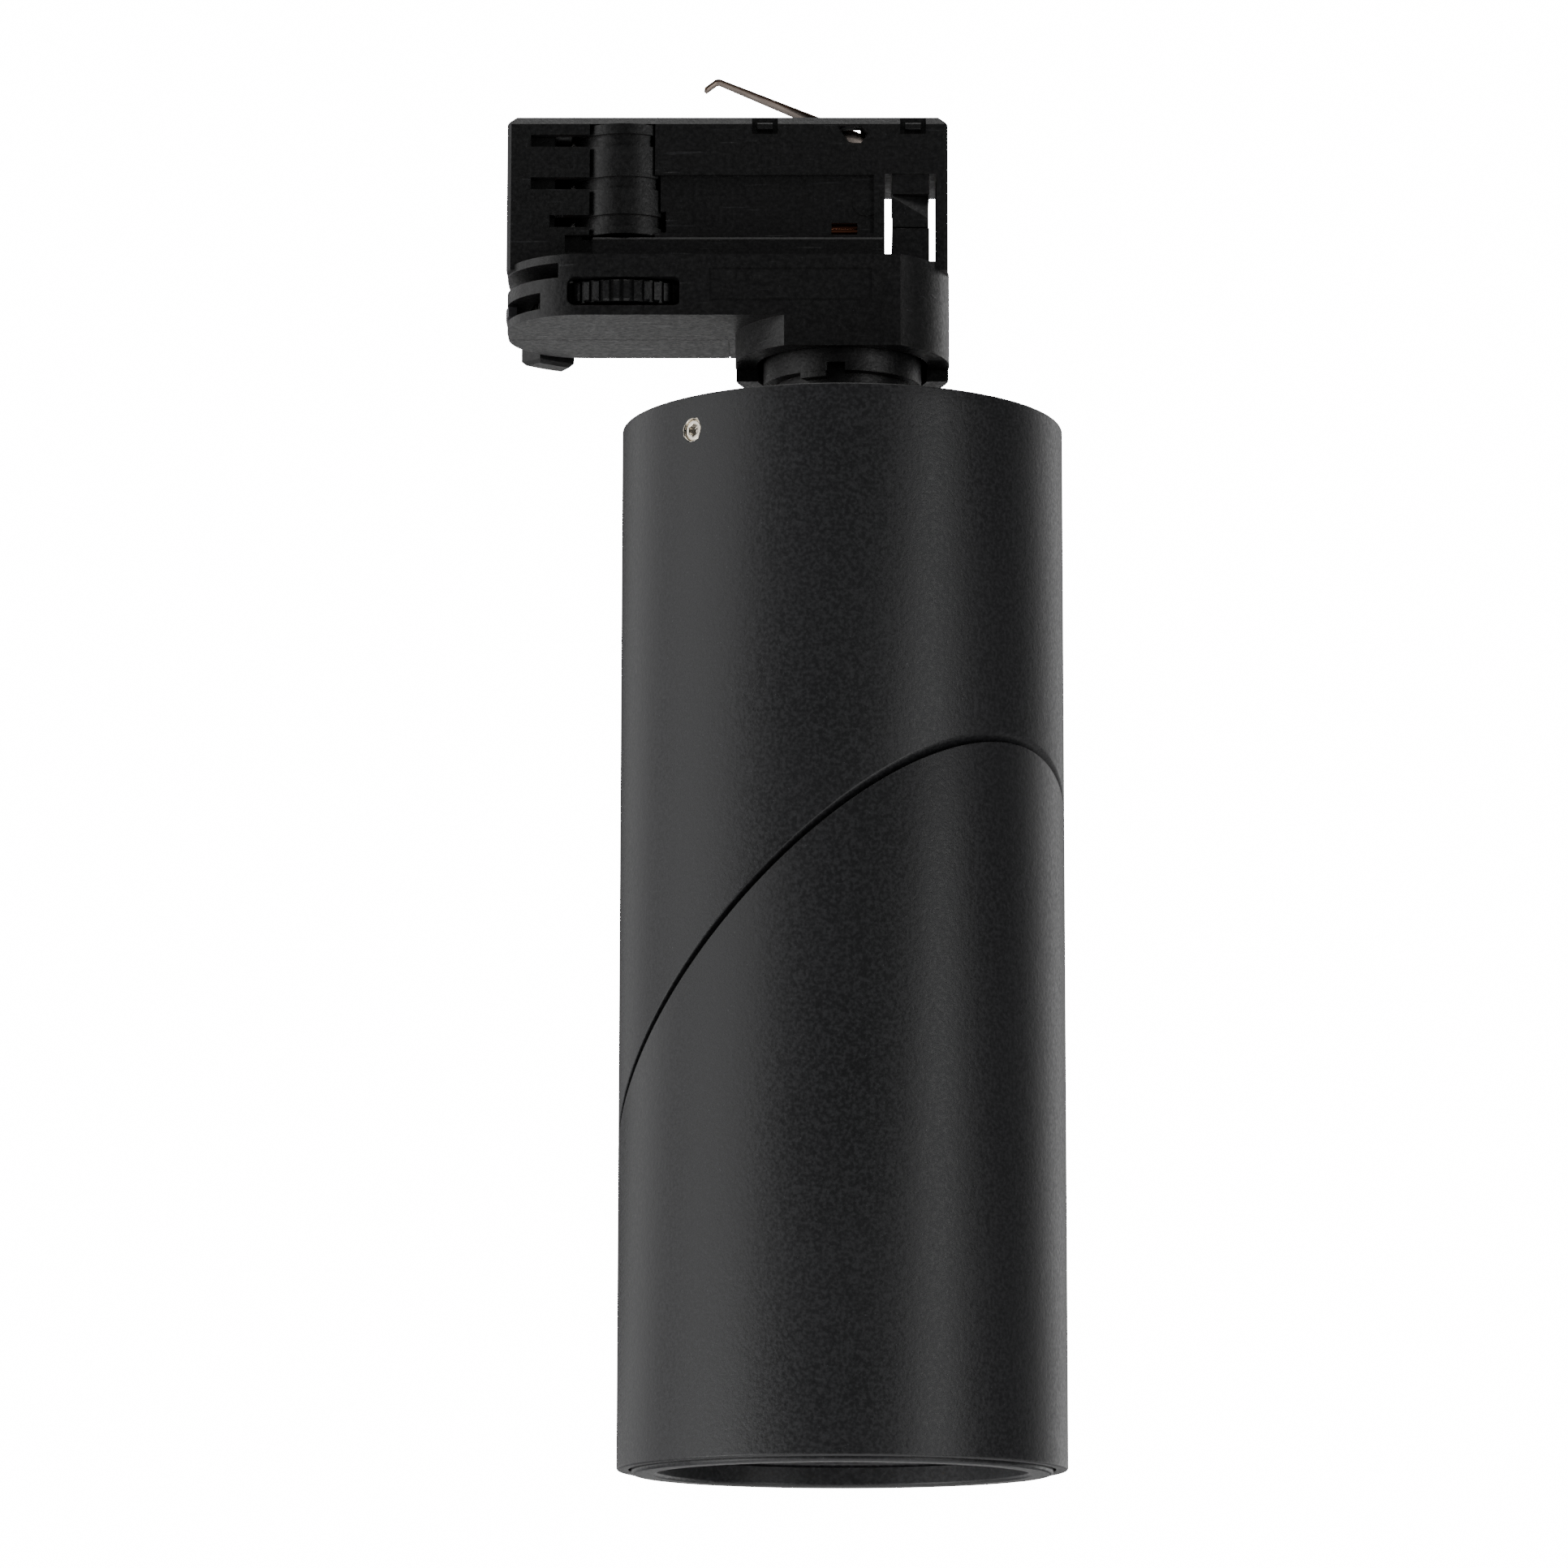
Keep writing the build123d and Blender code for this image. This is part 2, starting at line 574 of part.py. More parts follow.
def grub_holes(radius):
    """Two radial bores square to the cut's heading."""
    z = housing_top - grub_below_top
    bores = rod_y(radius, 0, z, inner_radius - cap_skirt_wall - 1, housing_radius + 1)
    bores += rod_y(radius, 0, z, -housing_radius - 1, -inner_radius + cap_skirt_wall + 1)
    return lamp_turn * bores


def make_grub_screws():
    """Two socket grub screws that hold the cap in the upper housing."""
    z = housing_top - grub_below_top
    screws = []
    for side in (-1, 1):
        y0, y1 = sorted((side * (inner_radius - cap_skirt_wall + 0.4), side * (housing_radius - 0.35)))
        screw = rod_y(grub_radius, 0, z, y0, y1)
        tip = housing_radius - 0.35
        s0, s1 = sorted((side * (tip - 2.0), side * (tip + 1)))
        socket = Pos(0, (s0 + s1) / 2, z) * Rot(90, 0, 0) * extrude(
            RegularPolygon(1.15, 6), (s1 - s0) / 2, both=True)
        screws.append(lamp_turn * (screw - socket))
    return screws


def half_space(upper, offset):
    """Everything on one side of the cut plane, offset along its normal away from the gap."""
    size = 400
    shift = size / 2 + cut_gap / 2 + offset
    return lamp_turn * cut_frame * Pos(0, 0, shift if upper else -shift) * Box(size, size, size)


def make_upper_housing():
    """Upper tube, open at the top for the cap and cut obliquely below."""
    tube = ring(housing_radius, inner_radius, end_z, housing_top)
    tube = chamfer(tube.edges().filter_by(GeomType.CIRCLE).group_by(Axis.Z)[-1].sort_by(
        SortBy.LENGTH)[-1], 0.4)
    tube &= half_space(True, 0)
    return tube - grub_holes(grub_radius + fit_gap / 2)


def make_lower_housing():
    """Lower tube with the heat sink's bore and the bezel's seat."""
    tube = ring(housing_radius, inner_radius, end_z, housing_top)
    tube = chamfer(tube.edges().filter_by(GeomType.CIRCLE).group_by(Axis.Z)[0].sort_by(
        SortBy.LENGTH)[-1], 0.4)
    return tube & half_space(False, 0)


def elbow_ellipse(near, far):
    """Slice of the tube's inside between two distances from the cut plane, along its normal."""
    core = disc(inner_radius - fit_gap / 2, end_z, housing_top)
    slab = lamp_turn * cut_frame * Pos(0, 0, (near + far) / 2) * Box(400, 400, abs(far - near))
    return core & slab


def on_cut(solid):
    """Place a solid modelled about the cut's own centre and normal."""
    return lamp_turn * cut_frame * solid


plate_screw_angles = (50, 130, 230, 310)


def make_upper_elbow_plate():
    """Oval plate in the upper housing with the pivot hole and the half-turn stop slot."""
    near = cut_gap / 2
    plate = elbow_ellipse(near, near + plate_thickness)
    cuts = disc(tube_radius + running_gap, -20, 20)
    spare = degrees(elbow_pin_radius / stop_radius) + 1.0
    r0, r1 = stop_radius - elbow_pin_radius - 0.2, stop_radius + elbow_pin_radius + 0.2
    slot = ring(r1, r0, -20, 20) & sector(60, 90 - spare, 90 + elbow_travel + spare, -20, 20)
    cuts += slot
    for angle in plate_screw_angles:
        cuts += disc(1.3, -20, 20, *polar(plate_screw_circle, angle))
    return plate - on_cut(cuts)


def make_lower_elbow_plate():
    """Oval plate in the lower housing that carries the pivot tube and the stop pin."""
    near = -cut_gap / 2
    plate = elbow_ellipse(near - plate_thickness, near)
    cuts = disc(tube_radius + fit_gap / 2, -20, 20)
    cuts += disc(elbow_pin_radius + fit_gap / 2, -20, 20, *polar(stop_radius, 90))
    for angle in plate_screw_angles:
        cuts += disc(1.3, -20, 20, *polar(plate_screw_circle, angle))
    return plate - on_cut(cuts)


def make_plate_screws(upper):
    """Four screws whose heads lie inside the housing and clamp a plate's corner lugs."""
    side = 1 if upper else -1
    face = cut_gap / 2 + plate_thickness
    screws = []
    for angle in plate_screw_angles:
        x, y = polar(plate_screw_circle, angle)
        z0, z1 = sorted((side * (cut_gap / 2 + 0.4), side * (face + 0.1)))
        h0, h1 = sorted((side * (face + 0.05), side * (face + 1.8)))
        screws.append(on_cut(disc(1.25, z0, z1, x, y) + disc(2.3, h0, h1, x, y)))
    return screws


def make_friction_washer():
    """Plastic washer in the gap between the plates."""
    return on_cut(ring(tube_radius + 11.0, tube_radius + 0.3, -cut_gap / 2 + 0.1, cut_gap / 2))


pivot_top = cut_gap / 2 + plate_thickness


def make_pivot_tube():
    """Hollow pivot with a flange under the lower plate; the wires pass through it."""
    low = -pivot_top
    tube = disc(tube_radius, low - 0.1, pivot_top + 5.6)
    tube += disc(tube_radius + pivot_head_width, low - pivot_head_thickness, low - 0.05)
    return on_cut(tube - disc(tube_bore, -60, 60))


def make_pivot_washer():
    return on_cut(ring(tube_radius + 4.0, tube_radius + fit_gap / 2, pivot_top + 0.1, pivot_top + 1.2))


def make_pivot_nut():
    nut = hexagon(2 * (tube_radius + pivot_nut_wall), pivot_top + 1.25, pivot_top + 5.0)
    return on_cut(nut - disc(tube_radius + fit_gap / 2, -60, 60))


def make_elbow_stop_pin():
    return on_cut(disc(elbow_pin_radius, -pivot_top, pivot_top, *polar(stop_radius, 90)))


stack_gap = 0.05                        # play between stacked flat parts
baffle_top = end_z + bezel_height + baffle_depth
glass_bottom = baffle_top + gasket_thickness + 2 * stack_gap
glass_top = glass_bottom + glass_thickness
reflector_bottom = glass_top + stack_gap
reflector_top = reflector_bottom + reflector_depth
board_bottom = reflector_top + holder_height + stack_gap
board_top = board_bottom + board_thickness
sink_bottom = board_top + pad_thickness + 2 * stack_gap
cap_inside = housing_top - cap_thickness
bracket_top = housing_top - cap_skirt - 0.1
bracket_screws = [polar(22, angle) for angle in (30, 150, 270)]
holder_screws = [polar(14.0, angle) for angle in (0, 180)]


def make_driver_bracket():
    """Disc under the cap with three legs that stand the driver off it."""
    bracket = disc(driver_radius + 1, bracket_top - bracket_thickness, bracket_top)
    for x, y in bracket_screws:
        bracket += disc(3.2, bracket_top - 0.5, cap_inside - stack_gap, x, y)
        bracket -= disc(1.3, bracket_top - 5, cap_inside, x, y)
    return bracket - disc(9, -60, -40)


def make_bracket_screws():
    """Three screws up through the bracket's legs into the cap."""
    low = bracket_top - bracket_thickness - stack_gap
    return [disc(1.25, low - 0.05, housing_top - 1.7, x, y) + disc(2.3, low - 1.5, low, x, y)
            for x, y in bracket_screws]


def make_driver_case():
    """Round driver with rounded rims, cut back for the bracket screws' heads."""
    top = bracket_top - bracket_thickness - stack_gap
    case = disc(driver_radius, top - driver_height, top)
    case = fillet(case.edges().filter_by(GeomType.CIRCLE), 2.0)
    for x, y in bracket_screws:
        case -= disc(2.8, top - 2.2, top + 1, x, y)
    return case - disc(9.0, top - 6.0, top + 1)


def make_driver_terminal():
    """Output terminal under the driver."""
    top = bracket_top - bracket_thickness - 2 * stack_gap - driver_height
    block_ = block(-16, 4, -12, -3, top - 7.0, top)
    for i in range(3):
        block_ -= rod_y(1.3, -12.5 + 6.5 * i, top - 3.5, -13, -5)
    return block_


def make_heat_sink():
    """Round base with upright fins whose tops follow the slope of the cut."""
    base = disc(sink_radius, sink_bottom, sink_bottom + sink_base)
    pitch = 2 * (sink_radius - 4) / (fin_count - 1)
    fins = None
    for i in range(fin_count):
        y = (i - (fin_count - 1) / 2) * pitch
        fin = block(-60, 60, y - fin_thickness / 2, y + fin_thickness / 2, sink_bottom + 1, cut_z + 60)
        fins = fin if fins is None else fins + fin
    fins = lamp_turn * fins & disc(sink_radius, sink_bottom, cut_z + 60)
    fins &= half_space(False, plate_thickness + fin_clearance)
    sink = base + fins
    for x, y in holder_screws:
        sink -= disc(1.3, sink_bottom - 1, sink_bottom + 5, x, y)
    return sink


def make_thermal_pad():
    pad = disc(board_radius, board_top + stack_gap, board_top + stack_gap + pad_thickness)
    for x, y in holder_screws:
        pad -= disc(1.4, -300, 0, x, y)
    return pad


def make_led_board():
    board = disc(board_radius, board_bottom, board_top)
    for x, y in holder_screws:
        board -= disc(1.4, -300, 0, x, y)
    return board


def make_led_chip():
    """Yellow phosphor disc of the light source."""
    return disc(led_radius, board_bottom - stack_gap - led_height, board_bottom - stack_gap)


def make_led_holder():
    """White ring that clamps the board and centres the reflector."""
    top = board_bottom - stack_gap
    holder = ring(board_radius - 2.5, reflector_throat, top - holder_height, top)
    for x, y in holder_screws:
        holder -= disc(1.4, -300, 0, x, y) + disc(2.5, -300, top - holder_height + 1.7, x, y)
    return holder


def make_holder_screws():
    low = board_bottom - stack_gap - holder_height
    return [disc(1.25, low + 1.5, sink_bottom + 4.5, x, y) + disc(2.3, low + 0.2, low + 1.65, x, y)
            for x, y in holder_screws]


def bowl_profile(mouth, throat, z0, z1, thickness):
    """Wall between two curved profiles that open downward like a dish."""
    steps = 10
    inner = []
    for i in range(steps + 1):
        t = i / steps
        inner.append((throat + (mouth - throat) * sqrt(1 - t * t), z0 + (z1 - z0) * t))
    outer = [(r + thickness, z) for r, z in inner]
    face = make_face(
        Spline(*[(r, 0, z) for r, z in inner]) + Line((inner[-1][0], 0, z1), (outer[-1][0], 0, z1))
        + Spline(*[(r, 0, z) for r, z in reversed(outer)]) + Line((outer[0][0], 0, z0), (inner[0][0], 0, z0))
    )
    return revolve(face, Axis.Z)


def make_reflector():
    """Dished reflector from the light source to the glass."""
    return bowl_profile(reflector_mouth, reflector_throat + 0.4, reflector_bottom,
                        reflector_top - stack_gap, reflector_wall)


def make_front_glass():
    return disc(glass_radius, glass_bottom, glass_top)


def make_glass_gasket():
    low = baffle_top + stack_gap
    return ring(glass_radius, baffle_inner + 0.5, low, low + gasket_thickness)


def make_baffle():
    """Conical black baffle between the glass and the bezel, with a rim that carries the glass."""
    low, top = end_z + bezel_height + stack_gap, baffle_top
    outer = bezel_radius - 0.6
    return revolve_profile([
        (bezel_inner + 0.1, low), (outer, low), (outer, low + 2.0),
        (bezel_inner + baffle_wall + 0.6, low + 2.0), (glass_radius + 0.4, top - 1.5),
        (glass_radius + 0.4, top), (baffle_inner, top), (baffle_inner, top - 0.8),
    ])


def make_bezel():
    """Ring with a rounded lip that closes the tube's mouth."""
    low = end_z - bezel_lip
    bezel = ring(bezel_radius, bezel_inner, low, end_z + bezel_height)
    return fillet(bezel.edges().filter_by(GeomType.CIRCLE).group_by(Axis.Z)[0], 0.7)


def main():
    os.makedirs("parts", exist_ok=True)
    front, rear = make_shells()
    nodes = {
        "front_shell": front,
        "rear_shell": rear,
        "shell_screws": make_shell_screws(),
        "terminal_block": make_terminal_block(),
        "phase_strips": make_contact_strips(),
        "earth_strip": make_earth_strip(),
        "lever_detent": make_lever_detent(),
        "latch_guide": make_latch_guide(),
        "swivel_stop_pin": make_swivel_stop_pin(),
        "earth_spring": make_earth_spring(),
        "locking_lever": make_locking_lever(),
        "lock_slider": make_lock_slider(),
        "latch_tongue_front": make_latch_tongue(-1),
        "latch_tongue_rear": make_latch_tongue(1),
        "contact_drum": make_contact_drum(),
        "contact_blades": make_contact_blades(),
        "phase_dial": make_phase_dial(),
        "nipple": make_nipple(),
        "swivel_nut": make_swivel_nut(),
        "swivel_washer": make_swivel_washer(),
        "swivel_collar": make_swivel_collar(),
        "cap_nut": make_cap_nut(),
        "top_cap": make_top_cap(),
        "grub_screws": make_grub_screws(),
        "upper_housing": make_upper_housing(),
        "driver_bracket": make_driver_bracket(),
        "bracket_screws": make_bracket_screws(),
        "driver_case": make_driver_case(),
        "driver_terminal": make_driver_terminal(),
        "upper_elbow_plate": make_upper_elbow_plate(),
        "upper_plate_screws": make_plate_screws(True),
        "friction_washer": make_friction_washer(),
        "lower_housing": make_lower_housing(),
        "lower_elbow_plate": make_lower_elbow_plate(),
        "lower_plate_screws": make_plate_screws(False),
        "pivot_tube": make_pivot_tube(),
        "pivot_washer": make_pivot_washer(),
        "pivot_nut": make_pivot_nut(),
        "elbow_stop_pin": make_elbow_stop_pin(),
        "heat_sink": make_heat_sink(),
        "thermal_pad": make_thermal_pad(),
        "led_board": make_led_board(),
        "led_chip": make_led_chip(),
        "led_holder": make_led_holder(),
        "holder_screws": make_holder_screws(),
        "reflector": make_reflector(),
        "front_glass": make_front_glass(),
        "glass_gasket": make_glass_gasket(),
        "baffle": make_baffle(),
        "bezel": make_bezel(),
    }
    for name, shape in nodes.items():
        solid = Compound(children=shape) if isinstance(shape, list) else shape
        export_step(solid, f"parts/{name}.step")
    print(len(nodes), "nodes")


main()
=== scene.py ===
"""Track spotlight: finishes, fine pieces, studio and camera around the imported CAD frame."""

import json
import math

import bpy
import numpy as np
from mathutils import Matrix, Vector


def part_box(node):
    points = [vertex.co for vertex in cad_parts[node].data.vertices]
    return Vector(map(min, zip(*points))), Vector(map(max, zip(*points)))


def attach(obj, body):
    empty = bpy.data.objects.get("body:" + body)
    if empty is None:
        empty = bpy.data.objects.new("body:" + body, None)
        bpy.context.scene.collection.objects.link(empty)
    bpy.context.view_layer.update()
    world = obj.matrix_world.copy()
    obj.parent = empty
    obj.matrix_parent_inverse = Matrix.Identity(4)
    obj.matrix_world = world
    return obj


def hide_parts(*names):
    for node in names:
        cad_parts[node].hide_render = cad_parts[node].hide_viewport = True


bl_info = {
    "name": "Track spotlight",
    "version": (1, 0, 0),
    "blender": (4, 5, 0),
    "location": "3D View > Sidebar > Spotlight",
    "description": "Finishes and fine pieces of a track spotlight on a three-circuit adapter",
    "category": "Add Mesh",
}

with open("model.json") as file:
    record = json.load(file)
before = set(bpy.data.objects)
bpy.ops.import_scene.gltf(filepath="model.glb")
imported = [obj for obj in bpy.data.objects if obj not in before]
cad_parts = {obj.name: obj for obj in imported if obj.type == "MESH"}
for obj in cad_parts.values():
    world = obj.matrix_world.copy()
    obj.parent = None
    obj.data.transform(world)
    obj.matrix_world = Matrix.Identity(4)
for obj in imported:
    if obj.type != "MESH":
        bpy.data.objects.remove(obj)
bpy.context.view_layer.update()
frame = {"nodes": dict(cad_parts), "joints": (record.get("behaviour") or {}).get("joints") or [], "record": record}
MM = 0.001

# ---- places read from the frame ----
HOUSING_LOW, HOUSING_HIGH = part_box("upper_housing")
HOUSING_RADIUS = (HOUSING_HIGH.x - HOUSING_LOW.x) / 2
HOUSING_TOP = HOUSING_HIGH.z
HOUSING_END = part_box("lower_housing")[0].z
JOINTS = {joint["name"]: joint for joint in frame["joints"]}
ELBOW = np.array(JOINTS["lamp_elbow"]["pos_m"])
CUT_NORMAL = np.array(JOINTS["lamp_elbow"]["axis"])
CUT_HEADING = math.atan2(-CUT_NORMAL[1], -CUT_NORMAL[0])
SPRING_ROOT = np.array(JOINTS["spring_press"]["pos_m"])


# ---------------------------------------------------------------- shader maths
class Value:
    """A shader socket that can be used in Python arithmetic; each operator adds a Math node."""

    def __init__(self, graph, socket):
        self.graph, self.socket = graph, socket

    def _math(self, operation, *values):
        return self.graph.add("ShaderNodeMath", {"operation": operation}, values)

    def __add__(self, other):
        return self._math("ADD", self, other)

    def __sub__(self, other):
        return self._math("SUBTRACT", self, other)

    def __mul__(self, other):
        return self._math("MULTIPLY", self, other)

    __radd__, __rmul__ = __add__, __mul__


class Graph:
    """Node tree of one material, with one method that makes any node."""

    def __init__(self, material):
        self.tree = material.node_tree
        self.tree.nodes.clear()

    def add(self, kind, settings=None, values=(), output=0):
        """Make a node: settings first, then socket values or links, by position or by name."""
        node = self.tree.nodes.new(kind)
        for key, value in (settings or {}).items():
            setattr(node, key, value)
        pairs = values.items() if isinstance(values, dict) else enumerate(values)
        for key, value in pairs:
            if isinstance(value, Value):
                self.tree.links.new(value.socket, node.inputs[key])
            else:
                node.inputs[key].default_value = value
        return Value(self, node.outputs[output]) if node.outputs else None

    def place(self):
        return self.add("ShaderNodeTexCoord", output="Object")

    def noise(self, scale, detail=2.0, roughness=0.5, vector=None):
        """Noise with its scale in repeats per metre."""
        values = {"Vector": vector or self.place(), "Scale": scale,
                  "Detail": detail, "Roughness": roughness}
        return self.add("ShaderNodeTexNoise", None, values)

    def cells(self, scale):
        """Distance to the nearest of scattered points, with their scale in points per metre."""
        return self.add("ShaderNodeTexVoronoi", None, {"Vector": self.place(), "Scale": scale})

    def step(self, value, low, high, start=0.0, end=1.0):
        """Smooth change from start to end as value goes from low to high."""
        return self.add("ShaderNodeMapRange", {"interpolation_type": "SMOOTHSTEP"},
                        {"Value": value, "From Min": low, "From Max": high, "To Min": start, "To Max": end})

    def mix(self, factor, one, other):
        """Colour between two, each a colour or a socket."""
        node = self.tree.nodes.new("ShaderNodeMix")
        node.data_type = "RGBA"
        for index, value in ((0, factor), (6, one), (7, other)):
            if isinstance(value, Value):
                self.tree.links.new(value.socket, node.inputs[index])
            else:
                node.inputs[index].default_value = value
        return Value(self, node.outputs[2])

    def bump(self, height, distance):
        """Normal of a height field whose full range is distance metres."""
        return self.add("ShaderNodeBump", None, {"Height": height, "Distance": distance})

    def finish(self, **sockets):
        """Principled shader with these sockets, linked to the output."""
        values = {key.replace("_", " "): value for key, value in sockets.items()}
        shader = self.add("ShaderNodeBsdfPrincipled", None, values)
        self.add("ShaderNodeOutputMaterial", None, {"Surface": shader})


def rgb(shade, tint=(1.0, 1.0, 1.0)):
    return (shade * tint[0], shade * tint[1], shade * tint[2], 1.0)


def new_material(name):
    material = bpy.data.materials.new(name)
    material.use_nodes = True
    return material, Graph(material)


# ---------------------------------------------------------------- finishes
COOL = (0.97, 0.98, 1.06)


def powder_coat(name, shade=0.016, grain=1500.0, depth=0.00008):
    """Fine textured matt black powder coat: pebbled grain, faint cloudiness, small glints."""
    material, g = new_material(name)
    pebbles = g.noise(grain, 3.0, 0.6)
    coarse = g.noise(grain * 0.36, 2.0, 0.55)
    cloud = g.noise(22.0, 3.0, 0.5)
    glint = g.step(g.cells(grain * 0.8), 0.0, 0.13, 1.0, 0.0)
    glint = glint * g.step(g.noise(grain * 0.3, 1.0), 0.54, 0.64)
    dust = g.step(g.cells(95.0), 0.0, 0.022, 1.0, 0.0) * g.step(g.noise(41.0, 1.0), 0.6, 0.66)
    base = g.mix(g.step(cloud, 0.3, 0.7), rgb(shade * 0.88, COOL), rgb(shade * 1.14, COOL))
    base = g.mix(g.step(pebbles, 0.38, 0.68), base, rgb(shade * 1.9, COOL))
    base = g.mix(glint * 0.55, base, rgb(0.26, COOL))
    base = g.mix(dust * 0.6, base, rgb(0.22, (1.05, 1.0, 0.94)))
    rough = g.step(pebbles, 0.3, 0.7, 0.36, 0.5) - glint * 0.22 + (cloud - 0.5) * 0.08
    normal = g.bump(pebbles * 0.7 + coarse * 0.6, depth)
    g.finish(Base_Color=base, Roughness=rough, Normal=normal)
    return material


def moulded_black(name, shade=0.004, depth=0.00012):
    """Black moulded plastic with a spark-eroded texture, fine scratches and painted glints, pale specks in the
    base colour.
    """
    material, g = new_material(name)
    grain = g.noise(1300.0, 4.0, 0.68)
    broad = g.noise(420.0, 2.0, 0.5)
    flow = g.add("ShaderNodeMapping", None, {"Vector": g.place(), "Rotation": (0.0, 0.7, 0.0),
                                             "Scale": (90.0, 400.0, 1400.0)})
    streak = g.step(g.noise(1.0, 2.0, 0.5, flow), 0.66, 0.74)
    # painted glints: scattered pale specks in the base colour that stand for sparkle off the grain
    painted_glint = g.step(g.cells(900.0), 0.0, 0.12, 1.0, 0.0) * g.step(g.noise(260.0, 1.0), 0.55, 0.64)
    base = g.mix(g.step(broad, 0.3, 0.72), rgb(shade * 0.8, COOL), rgb(shade * 1.3, COOL))
    base = g.mix(g.step(grain, 0.55, 0.8) * 0.6, base, rgb(shade * 3.2, COOL))
    base = g.mix(painted_glint * 0.5, base, rgb(0.16, COOL))
    base = g.mix(streak * 0.22, base, rgb(0.09, COOL))
    rough = g.step(grain, 0.3, 0.7, 0.34, 0.52) - streak * 0.08
    normal = g.bump(grain * 0.8 + broad * 0.5 + streak * 0.2, depth)
    g.finish(Base_Color=base, Roughness=rough, Normal=normal, Specular_IOR_Level=0.6)
    return material


def sheet_metal(name, light, dark, roughness=0.3, grain=(60.0, 60.0, 1500.0), stain=0.5):
    """Rolled or turned metal: fine grain lines one way, soft stains, uneven gloss."""
    material, g = new_material(name)
    lines = g.add("ShaderNodeMapping", None, {"Vector": g.place(), "Scale": grain})
    grainy = g.noise(1.0, 3.0, 0.6, lines)
    cloud = g.noise(180.0, 3.0, 0.6)
    pits = g.step(g.cells(700.0), 0.0, 0.12, 1.0, 0.0)
    base = g.mix(g.step(cloud, 0.35, 0.7) * stain + grainy * 0.25, (*light, 1.0), (*dark, 1.0))
    base = g.mix(pits * 0.3, base, (*dark, 1.0))
    rough = roughness + (grainy - 0.5) * 0.25 + (cloud - 0.5) * 0.2
    normal = g.bump(grainy + pits * -0.3, 0.00003)
    g.finish(Base_Color=base, Roughness=rough, Metallic=1.0, Normal=normal)
    return material


def plain_plastic(name, light, dark, roughness=0.45, grain=900.0, depth=0.00003):
    """Moulded plastic or rubber with a light grain and slight shade changes."""
    material, g = new_material(name)
    fine, cloud = g.noise(grain, 3.0, 0.6), g.noise(60.0, 2.0, 0.5)
    base = g.mix(cloud * 0.6 + fine * 0.4, (*light, 1.0), (*dark, 1.0))
    rough = roughness + (fine - 0.5) * 0.2
    g.finish(Base_Color=base, Roughness=rough, Normal=g.bump(fine, depth))
    return material


def clear_glass(name):
    """Thin clear cover glass with a trace of dust."""
    material, g = new_material(name)
    dust = g.step(g.noise(240.0, 4.0, 0.7), 0.6, 0.8)
    base = g.mix(dust * 0.3, (0.95, 0.98, 0.97, 1.0), (0.8, 0.8, 0.78, 1.0))
    alpha = 0.16 + dust * 0.08
    g.finish(Base_Color=base, Roughness=0.04 + dust * 0.25, Alpha=alpha, IOR=1.5)
    return material


def phosphor(name):
    """Yellow phosphor silicone of the light source, with a fine chip grid under it."""
    material, g = new_material(name)
    spots, soft = g.cells(620.0), g.noise(500.0, 3.0, 0.6)
    base = g.mix(g.step(spots, 0.1, 0.6), (0.95, 0.62, 0.05, 1.0), (0.86, 0.72, 0.2, 1.0))
    g.finish(Base_Color=base, Roughness=0.32 + soft * 0.2, Normal=g.bump(soft, 0.00004))
    return material


FINISHES = {
    "moulded_black": lambda: moulded_black("moulded black"),
    "screw_steel": lambda: sheet_metal("screw steel", (0.62, 0.6, 0.55), (0.34, 0.33, 0.31), 0.3),
    "terminal_grey": lambda: plain_plastic("terminal grey", (0.36, 0.36, 0.37), (0.27, 0.27, 0.28)),
    # copper strip: both colours are darker than bare copper, painted shade of the deep window it sits in
    "copper": lambda: sheet_metal("copper strip", (0.7, 0.27, 0.15), (0.36, 0.13, 0.08), 0.22),
    "bronze_spring": lambda: sheet_metal("spring bronze", (0.30, 0.215, 0.16), (0.17, 0.115, 0.085), 0.3,
                                         (60.0, 900.0, 900.0), stain=0.6),
    "detent_grey": lambda: plain_plastic("detent grey", (0.075, 0.075, 0.08), (0.05, 0.05, 0.054), 0.4),
    "zinc_steel": lambda: sheet_metal("zinc steel", (0.6, 0.61, 0.63), (0.38, 0.38, 0.4), 0.33),
    "nickel": lambda: sheet_metal("bright nickel", (0.93, 0.87, 0.76), (0.5, 0.42, 0.3), 0.2, stain=0.3),
    "black_powder_coat": lambda: powder_coat("black powder coat"),
    "cast_plate": lambda: powder_coat("cast plate", 0.03, 800.0, 0.0001),
    "driver_plastic": lambda: plain_plastic("driver white", (0.72, 0.72, 0.7), (0.62, 0.62, 0.6)),
    "washer_plastic": lambda: plain_plastic("washer white", (0.82, 0.82, 0.8), (0.74, 0.74, 0.72)),
    "sink_aluminium": lambda: sheet_metal("sink aluminium", (0.6, 0.6, 0.62), (0.44, 0.44, 0.46), 0.42),
    "pad_grey": lambda: plain_plastic("pad grey", (0.4, 0.42, 0.46), (0.32, 0.34, 0.38), 0.6),
    "board_white": lambda: plain_plastic("board white", (0.85, 0.85, 0.85), (0.78, 0.78, 0.78), 0.3),
    "phosphor": lambda: phosphor("phosphor yellow"),
    "holder_white": lambda: plain_plastic("holder white", (0.84, 0.84, 0.83), (0.78, 0.78, 0.77)),
    "reflector_mirror": lambda: sheet_metal("reflector bright", (0.92, 0.92, 0.93), (0.8, 0.8, 0.82), 0.12,
                                            stain=0.2),
    "clear_glass": lambda: clear_glass("cover glass"),
    "gasket_black": lambda: plain_plastic("gasket black", (0.03, 0.03, 0.03), (0.02, 0.02, 0.02), 0.6),
    "baffle_black": lambda: powder_coat("baffle black", 0.02, 1100.0, 0.00012),
    "bezel_black": lambda: powder_coat("bezel black", 0.017, 1500.0, 0.00004),
}
MADE = {}


def finish_of(slot):
    """Material of a slot, made once."""
    if slot not in MADE:
        MADE[slot] = FINISHES[slot]()
    return MADE[slot]


